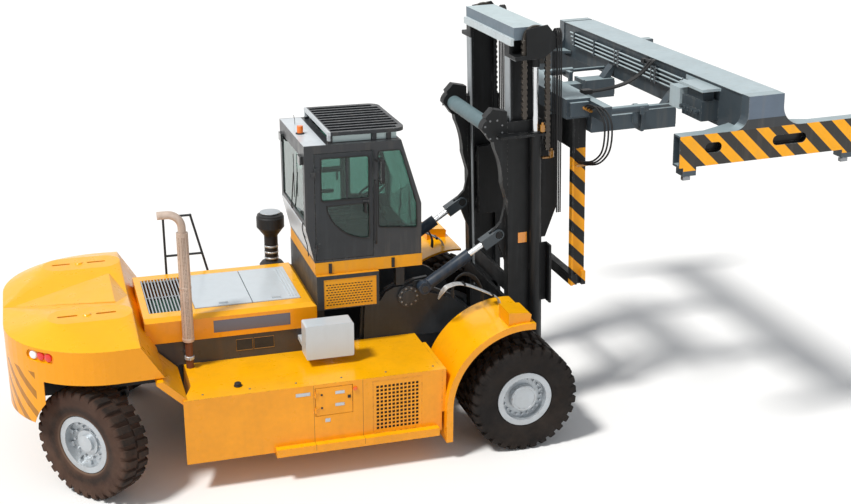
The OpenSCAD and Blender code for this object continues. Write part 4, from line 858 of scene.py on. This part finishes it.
def pad(name, low, high, fabric, tilt=0.0, foot=None):
    """Padded cushion: a box of cloth blown up a little by its own pressure."""
    size = [(b - a) / 1000 for a, b in zip(low, high)]
    middle = truck(*((a + b) / 2 for a, b in zip(low, high)))
    mesh = bmesh.new()
    bmesh.ops.create_cube(mesh, size=1)
    bmesh.ops.scale(mesh, vec=[d - 0.024 for d in size], verts=mesh.verts)
    bmesh.ops.bevel(mesh, geom=mesh.edges[:], offset=0.03, segments=4, affect="EDGES")
    data = bpy.data.meshes.new(name)
    mesh.to_mesh(data)
    mesh.free()
    piece = add_object(name, data)
    blow_up(piece)
    spin = Matrix.Rotation(tilt, 4, "Y")
    pivot = truck(*foot) - middle if foot else Vector((0, 0, 0))
    for vertex in piece.data.vertices:
        vertex.co = middle + pivot + spin @ (vertex.co - pivot)
    piece.data.polygons.foreach_set("use_smooth", [True] * len(piece.data.polygons))
    piece.data.materials.append(fabric)
    return piece


def blow_up(piece, voxel=0.009, pressure=4, cap=0.012):
    """Remesh, inflate as cloth for 20 frames and keep each point within cap of its place."""
    def modifier(kind, **settings):
        made = piece.modifiers.new(kind.lower(), kind)
        for key, value in settings.items():
            setattr(made, key, value)
        return made

    bpy.context.view_layer.objects.active = piece
    modifier("REMESH", mode="VOXEL", voxel_size=voxel)
    bpy.ops.object.modifier_apply(modifier="remesh")
    start = [v.co.copy() for v in piece.data.vertices]
    cloth = modifier("CLOTH")
    cloth.settings.use_pressure = True
    cloth.settings.uniform_pressure_force = pressure
    cloth.settings.effector_weights.gravity = 0
    cloth.point_cache.frame_start, cloth.point_cache.frame_end = 1, 20
    for frame_number in range(1, 21):
        bpy.context.scene.frame_set(frame_number)
    shaped = piece.evaluated_get(bpy.context.evaluated_depsgraph_get()).data
    ends = [v.co.copy() for v in shaped.vertices]
    piece.modifiers.clear()
    for vertex, a, b in zip(piece.data.vertices, start, ends):
        move = b - a
        vertex.co = a + move * min(1, cap / max(move.length, 1e-9))
    bpy.context.scene.frame_set(1)
    modifier("SUBSURF", levels=1, render_levels=1)
    bpy.ops.object.modifier_apply(modifier="subsurf")


def add_seat(fabric, plastic):
    lean, foot = math.radians(-8), (-2430, 0, 3010)
    seat = [pad("seat_cushion", (-2400, -255, 3000), (-1890, 255, 3108), fabric),
            pad("seat_back", (-2480, -245, 3035), (-2378, 245, 3480), fabric, lean, foot),
            pad("seat_head", (-2475, -140, 3510), (-2395, 140, 3635), fabric, lean, foot)]
    for piece in seat:
        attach(piece, "truck")
    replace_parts(seat_base(plastic), "driver_seat")


def seat_base(plastic):
    """Foot, bellows and pan under the cushion, and the armrests."""
    shape = Shape()
    shape.block((-2330, -200, 2592), (-1960, 200, 2640), 30)
    for i in range(5):
        fold = 4 * (i % 2)
        shape.block((-2300 + fold, -170, 2644 + 58 * i), (-1990 - fold, 170, 2692 + 58 * i), 30)
    shape.block((-2360, -235, 2940), (-1930, 235, 2994), 25)
    for s in (-1, 1):
        shape.block((-2380, s * 290 - 28, 3190), (-2060, s * 290 + 28, 3232), 14)
        shape.block((-2385, s * 268 - 12, 2950), (-2345, s * 268 + 12, 3195))
    return shape.piece("seat_base", "truck", plastic, 4)


def add_lights(red, white, amber, mirror):
    for sign, name in SIDES:
        tail_lenses(sign, name, red, white)
        y = sign * 1845
        boxes("fender_lens_" + name, "truck", amber, [((40, y - 150, 1890), (66, y + 150, 1962))], 4)
        y = sign * 1060
        boxes("mirror_glass_" + name, "truck", mirror, [((-1751, y - 88, 3700), (-1748, y + 88, 3980))], 0, 1)


def tail_lenses(sign, name, red, white):
    """Three lenses side by side in the recess of the ballast's round corner."""
    turn = math.radians(TAIL_TURN)
    out = Vector((-math.cos(turn), sign * math.sin(turn), 0))
    along = Vector((-math.sin(turn), -sign * math.cos(turn), 0))
    x, y, z = TAIL_CORNER
    recess = Vector((x, sign * y, z)) + out * (TAIL_R - 39)
    for place, label, material in ((118, "white", white), (0, "brake", red), (-118, "tail", red)):
        shape = Shape()
        shape.turned(recess + along * place, out, [(56, 0), (56, 10), (50, 20), (34, 27), (12, 30)])
        shape.piece(f"lens_{label}_{name}", "truck", material)


def add_roof_fittings(dark):
    """Foot of the beacon, and the aerial."""
    shape = Shape()
    shape.turned((-2600, -120, ROOF_TOP + 0.5), UP, [(60, 0), (60, 10), (50, 16)])
    shape.tube([(-2560, 420, ROOF_TOP + 1), (-2562, 420, 4240), (-2575, 420, 4300)], 4, 8)
    shape.piece("roof_fittings", "truck", dark)


def bolt_ring(shape, x, y, z, r, turns, size):
    """Bolts at the given turns in degrees on a ring that faces sideways."""
    for degrees in turns:
        a = math.radians(degrees)
        shape.bolt((x + r * math.cos(a), y, z + r * math.sin(a)), (0, math.copysign(1, y), 0), size, 8)


def mast_bolts(metal):
    """Bolts on the mast's flanges and round its ears."""
    shape = Shape(mast)
    for s in (-1, 1):
        for z in (620, 1120, 1900, 2620, 3610):
            shape.bolt((523, s * RAIL_FACE, z), (0, s, 0))
        for z in (300, 450):
            for x in (230, 330, 430, 560):
                shape.bolt((x, s * RAIL_FACE, z), (0, s, 0), 13)
        bolt_ring(shape, EAR_X, s * (RAIL_FACE - 5), EAR_Z, 132, range(22, 360, 45), 11)
    shape.piece("mast_bolts", "outer_mast", metal)


def truck_bolts(metal):
    """Bolts round the chassis' bosses under the cab, and along the decks."""
    shape = Shape()
    for s in (-1, 1):
        bolt_ring(shape, BOSS_X, s * 745, BOSS_Z, 122, range(0, 360, 36), 12)
        for x in (-1250, -1900, -2500, -3100, -3700, -4300):
            shape.bolt((x, s * 1850, DECK_TOP), UP, 11, 8)
    shape.piece("truck_bolts", "truck", metal)


# Tyres: radius and half width of the carcass, and of the lugs over the shoulder
CARCASS = [(345, 146), (390, 150), (402, 186), (450, 206), (540, 217), (630, 217), (668, 212), (694, 196),
           (712, 165), (718, 60), (718, 0)]
LUG = [(640, 214), (676, 219), (712, 216), (738, 204), (749, 180), (750, 14)]
LUG_FOOT = [(636, 190), (660, 190), (690, 180), (700, 160), (706, 140), (708, 14)]
LUGS = 30
LUG_PITCH = 2 * math.pi / LUGS


def around(r, angle, y):
    """Point about the wheel's axle, which lies along y."""
    return r * math.cos(angle), y, WHEEL_R + r * math.sin(angle)


def tyre(shape, middle):
    """One tyre about the axle at y = middle, with staggered lugs on both halves of the tread."""
    outline = CARCASS + [(r, -w) for r, w in CARCASS[-2::-1]]
    turns = [2 * math.pi * k / 72 for k in range(72)]
    shape.skin([[around(r, a, middle + w) for r, w in outline] for a in turns], True)
    for half in (1, -1):
        for k in range(LUGS):
            lug(shape, middle, half, LUG_PITCH * (k + half * 0.25))


def lug(shape, middle, half, turn):
    """One lug at an angle on one half of the tread, which leans towards the shoulder."""
    rings = []
    for edge in (-0.31, -0.25, 0.25, 0.31):
        angles = [turn + LUG_PITCH * (edge + half * 0.18 * (w - 14) / 200) for _, w in LUG]
        top = LUG if abs(edge) < 0.3 else [(r - 16, w) for r, w in LUG]
        section = [*zip(top, angles)] + [*zip(LUG_FOOT, angles)][::-1]
        rings.append([around(r, a, middle + half * w) for (r, w), a in section])
    shape.skin(rings)


def add_tyres(front):
    for sign, name in SIDES:
        shape = Shape(lambda x, y, z: truck(x, sign * y, z))
        for y in FRONT_TWINS:
            tyre(shape, y)
        twins = shape.piece("front_tyres_shaped_" + name, "front_wheels_" + name, front)
        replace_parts(twins, "front_tyres_" + name)
        shape = Shape(lambda x, y, z: steered(x, y, z, sign))
        tyre(shape, STEERED_Y)
        rear = shape.piece("rear_tyre_shaped_" + name, "rear_wheel_" + name, rear_rubber(sign, name))
        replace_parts(rear, "rear_tyre_" + name)


def fender_pipes(sign, name, silver):
    """Four pipes that bend over the inner part of the fender."""
    shape = Shape(lambda x, y, z: truck(x, sign * y, z))
    for i in range(4):
        y = 1230 + 34 * i
        shape.tube([(-960, 1150 + 8 * i, 1990), (-940, y - 10, 2130), (-850, y, 2210), (-640, y, 2215),
                    (-220, y, 2010), (-130, y, 1930), (-112, y, 1840)], 8, 8)
    shape.piece("fender_pipes_" + name, "truck", silver)


def tower_hoses(sign, name, rubber_hose):
    """Two clamp bars on the pipes, and three hoses beside them."""
    shape = Shape(lambda x, y, z: truck(x, sign * y, z))
    for x, z in ((-640, 2190), (-230, 1985)):
        shape.block((x - 14, 1215, z + 8), (x + 14, 1345, z + 44), 4)
    for i in range(3):
        y = 1130 + 34 * i
        shape.tube([(-760, y, 2000), (-740, y, 2180 + 30 * i), (-600, y, 2290 + 26 * i),
                    (-430, y, 2210 + 22 * i), (-330, y, 2040), (-330, y, 1900)], 11, 8)
    shape.piece("tower_hoses_" + name, "truck", rubber_hose)


def deck_fittings(dark):
    """Filler cap of the right tank, and straps at the foot of the cab doors."""
    shape = Shape()
    cap = [(52, 0), (52, 14), (44, 18), (44, 40), (38, 48), (10, 50)]
    shape.turned((-3830, -1719, DECK_TOP + 0.5), UP, cap)
    for s in (-1, 1):
        y = s * (CAB_HALF + 18)
        for x in (-2384, -1507):
            shape.block((x - 22, y - 9, 2395), (x + 22, y + 9, 2530), 4)
    shape.piece("deck_fittings", "truck", dark, 1.5)


def door_latch(dark):
    """Knobs and latch of the right tank's door."""
    shape = Shape()
    for z in (1169, 984):
        shape.turned((-2795, -TANK_FACE - 0.5, z), (0, -1, 0), [(15, 0), (15, 6), (10, 10)], 14)
    shape.block((-2450, -TANK_FACE - 10, 1085), (-2410, -TANK_FACE, 1125), 6)
    shape.piece("door_latch", "tank_door", dark, 1.5)


def tank_plates(name, body, plates, silver):
    """Blank plates on the right tank; each has a middle in x and z and half its size."""
    back, face = -TANK_FACE - 0.3, -TANK_FACE - 2.7
    boxes(name, body, silver, [((x - w, face, z - h), (x + w, back, z + h)) for x, z, w, h in plates], 0.6)


def clamps(silver):
    """Clamp of the exhaust; lid and bands of the air precleaner."""
    shape = Shape()
    shape.turned((STACK_X, STACK_Y, 1440), UP, [(58, 0), (66, 6), (66, 44), (58, 50)])
    shape.block((STACK_X - 12, STACK_Y - 86, 1450), (STACK_X + 12, STACK_Y - 60, 1484), 4)
    lid = [(118, 0), (150, -6), (150, 4), (110, 16), (30, 20)]
    shape.turned((CLEANER_X, CLEANER_Y, 2722), UP, lid)
    for i in range(3):
        band = [(102, 0), (107, 5), (107, 25), (102, 30)]
        shape.turned((CLEANER_X, CLEANER_Y, 2010 + 90 * i), UP, band)
    shape.piece("clamps", "truck", silver)


def roof_strips(pane):
    """Glass strips between the roof and its guard."""
    boxes("roof_strips", "truck", pane, [
        ((x0, s * 712 - 3, ROOF_TOP + 6), (x1, s * 712 + 3, ROOF_TOP + 96))
        for s in (-1, 1) for x0, x1 in ((-2290, -1770), (-1692, -1420))])


def cab_rear_fittings(dark):
    """Vent and cable on the rear of the cab."""
    shape = Shape()
    shape.block((-2660, -600, 2840), (-2634, -470, 2990), 4)
    for i in range(5):
        shape.block((-2668, -588, 2856 + 26 * i), (-2650, -482, 2864 + 26 * i))
    shape.tube([(-2705, -640, 3080), (-2712, -640, 3000), (-2690, -650, 2880), (-2665, -690, 2780),
                (-2650, -700, 2620)], 7, 8)
    shape.piece("cab_rear_fittings", "truck", dark)


def hood_side_plates(dark, brass):
    """Two blank plates in wire frames, low on the hood's right side."""
    plate = Shape()
    wire = Shape()
    low, high = 1430, 1590
    y = -HOOD_SIDE_FACE - 3
    for x0, x1 in ((-3700, -3480), (-3460, -3190)):
        plate.block((x0, y, low), (x1, -HOOD_SIDE_FACE, high))
        wire.tube([(x0, y, low), (x1, y, low), (x1, y, high), (x0, y, high)], 4, 6, 1, True)
    plate.piece("hood_side_plates", "truck", dark)
    wire.piece("hood_plate_frames", "truck", brass)


def pipe_clamps(pale):
    """Straps over the four pipes of the main beam, with a bar between each two pipes."""
    shape = Shape(mast)
    for y in (-1500, -1380, -560, -430, 660, 790):
        shape.tube([(2536, y, 4585), (2534, y, 4700), (2536, y, 4835)], 9, 8, 2)
        for i in range(3):
            z = PIPE_Z + PIPE_STEP * (i + 0.5)
            shape.block((2530, y - 14, z - 6), (2560, y + 14, z + 6))
    shape.piece("pipe_clamps", "spreader", pale)


def hose_joint(name, x, y, z, foot_x, brass):
    """Union of the mast's hoses on each side, on a foot that reaches in to the rail."""
    shape = Shape(mast)
    reach = (y - 925) / 2
    for s in (-1, 1):
        foot_y = s * (y / 2 + 463)
        shape.block((x - 32, s * y - 30, z - 45), (x + 30, s * y + 30, z + 45), 12)
        shape.turned((x, s * y, z + 44), UP, [(18, 0), (18, 30), (13, 34)], 12)
        shape.block((foot_x, foot_y - reach, z - 64), (x + 14, foot_y + reach, z - 44))
    shape.piece("hose_joint_" + name, "outer_mast", brass, 2)


def carriage_hoses(sign, name, rubber_hose):
    """Three hoses that loop from the carriage's head to its post."""
    shape = Shape(mast)
    for i in range(3):
        x = HOSE_X + HOSE_STEP * i
        grow = HOSE_DROP * i
        low_x = x - 20 * i
        route = [(x, 1118, HOSE_Z - grow), (x, 1290, HOSE_Z + 80 - grow), (x + 10, 1540 + grow, 4545),
                 (x + 15, 1750 + grow, 4390), (x + 10, 1715 + grow, 4050), (x - 10, 1500, 3850 - grow),
                 (low_x - 40, 1250, 3765 - grow), (low_x - 70, 1062, 3750 - grow)]
        shape.tube([(x, sign * y, z) for x, y, z in route], 13, 10, 5)
    shape.piece("carriage_hoses_" + name, "carriage", rubber_hose)


def hose_fittings(sign, name, brass):
    """Unions at the head and the bar that the hoses end on."""
    shape = Shape(mast)
    union = [(24, 0), (24, 26), (20, 30), (20, 60)]
    for i in range(3):
        at = (HOSE_X + HOSE_STEP * i, sign * 1112, HOSE_Z - HOSE_DROP * i)
        shape.turned(at, (0, sign, 0), union, 12)
    shape.block((1120, sign * 1086 - 26, 3660), (1290, sign * 1086 + 26, 3690))
    shape.piece("hose_fittings_" + name, "carriage", brass)


def valve_hoses(rubber_hose):
    """Hoses from the right ends of the beam's pipes down to the valves."""
    shape = Shape(mast)
    for i in range(4):
        z = PIPE_Z + PIPE_STEP * i
        y = -1560 - PIPE_STEP * i
        valve_x, valve_y = 2480 - 20 * i, -1800 - 95 * i
        shape.tube([(PIPE_X, y, z), (PIPE_X, y - 40, z), (PIPE_X - 7, y - 85, z - 30),
                    (PIPE_X - 32, y - 95 - 20 * i, z - 110), (valve_x, valve_y, 4790),
                    (2440, valve_y - 10, 4700)], 13, 8)
    shape.piece("valve_hoses", "spreader", rubber_hose)


bpy.context.scene.view_settings.view_transform = "Standard"
add_camera()
add_world(0.4, (0.93, 0.96, 1.0))
add_sun("key", (0.6, 0.25, -1.0), 3.1, 10, (1.0, 0.98, 0.94))
add_sun("fill", (-0.3, 0.9, -0.35), 0.25, 40, (0.95, 0.97, 1.0))
add_floor()
paint_nodes()

trim = plain("black_plastic")
add_windows(glass(), trim)
add_seat(seat_fabric(), trim)
add_lights(lens("lens_red", "d0241c", 0.15), lens("lens_white", "e8eaec", 0.1),
           lens("lens_amber", "f08a1c", 0.1), plain("chrome"))
add_roof_fittings(trim)

bolt_grey = lens("bolt_grey", "6a6d70")
mast_bolts(bolt_grey)
truck_bolts(bolt_grey)

brass = lens("brass", "a8752e")
boxes("hood_plate", "truck", lens("plate_grey", "5d5a66"),
      [((-3990, -HOOD_FACE - 3, 1735), (-2960, -HOOD_FACE, 1905))], 1)
hood_side_plates(trim, brass)
boxes("mast_plate", "outer_mast", lens("plate_amber", "e8963a"),
      [((330, -RAIL_FACE - 3.5, 2600), (460, -RAIL_FACE - 0.5, 2750))], 1, place=mast)
pipe_clamps(plain("steel"))
hose_joint("upper", 640, 1060, 4244, 632, brass)
hose_joint("lower", 800, 985, 3856, 670, brass)

add_tyres(plain("rubber"))
black_hose = plain("hose_rubber")
silver = plain("silver_paint")
for sign, name in SIDES:
    fender_pipes(sign, name, silver)
    tower_hoses(sign, name, black_hose)

deck_fittings(trim)
door_latch(trim)
boxes("marker_lamps", "truck", lens("lens_marker", "e8641c"),
      [((-2375, y - 12, 1190), (-2325, y + 12, 1228)) for y in (-TANK_FACE - 10, TANK_FACE + 10)], 3, 6)
tank_plates("tank_plates", "truck", ((-3039, 1204, 95, 24), (-2720, 801, 34, 26)), silver)
tank_plates("door_plates", "tank_door", ((-2552, 1179, 62, 22), (-2555, 1008, 62, 22)), silver)
clamps(silver)
roof_strips(lens("roof_strip", "b9cccb"))
cab_rear_fittings(trim)
for sign, name in SIDES:
    carriage_hoses(sign, name, black_hose)
    hose_fittings(sign, name, brass)
valve_hoses(black_hose)
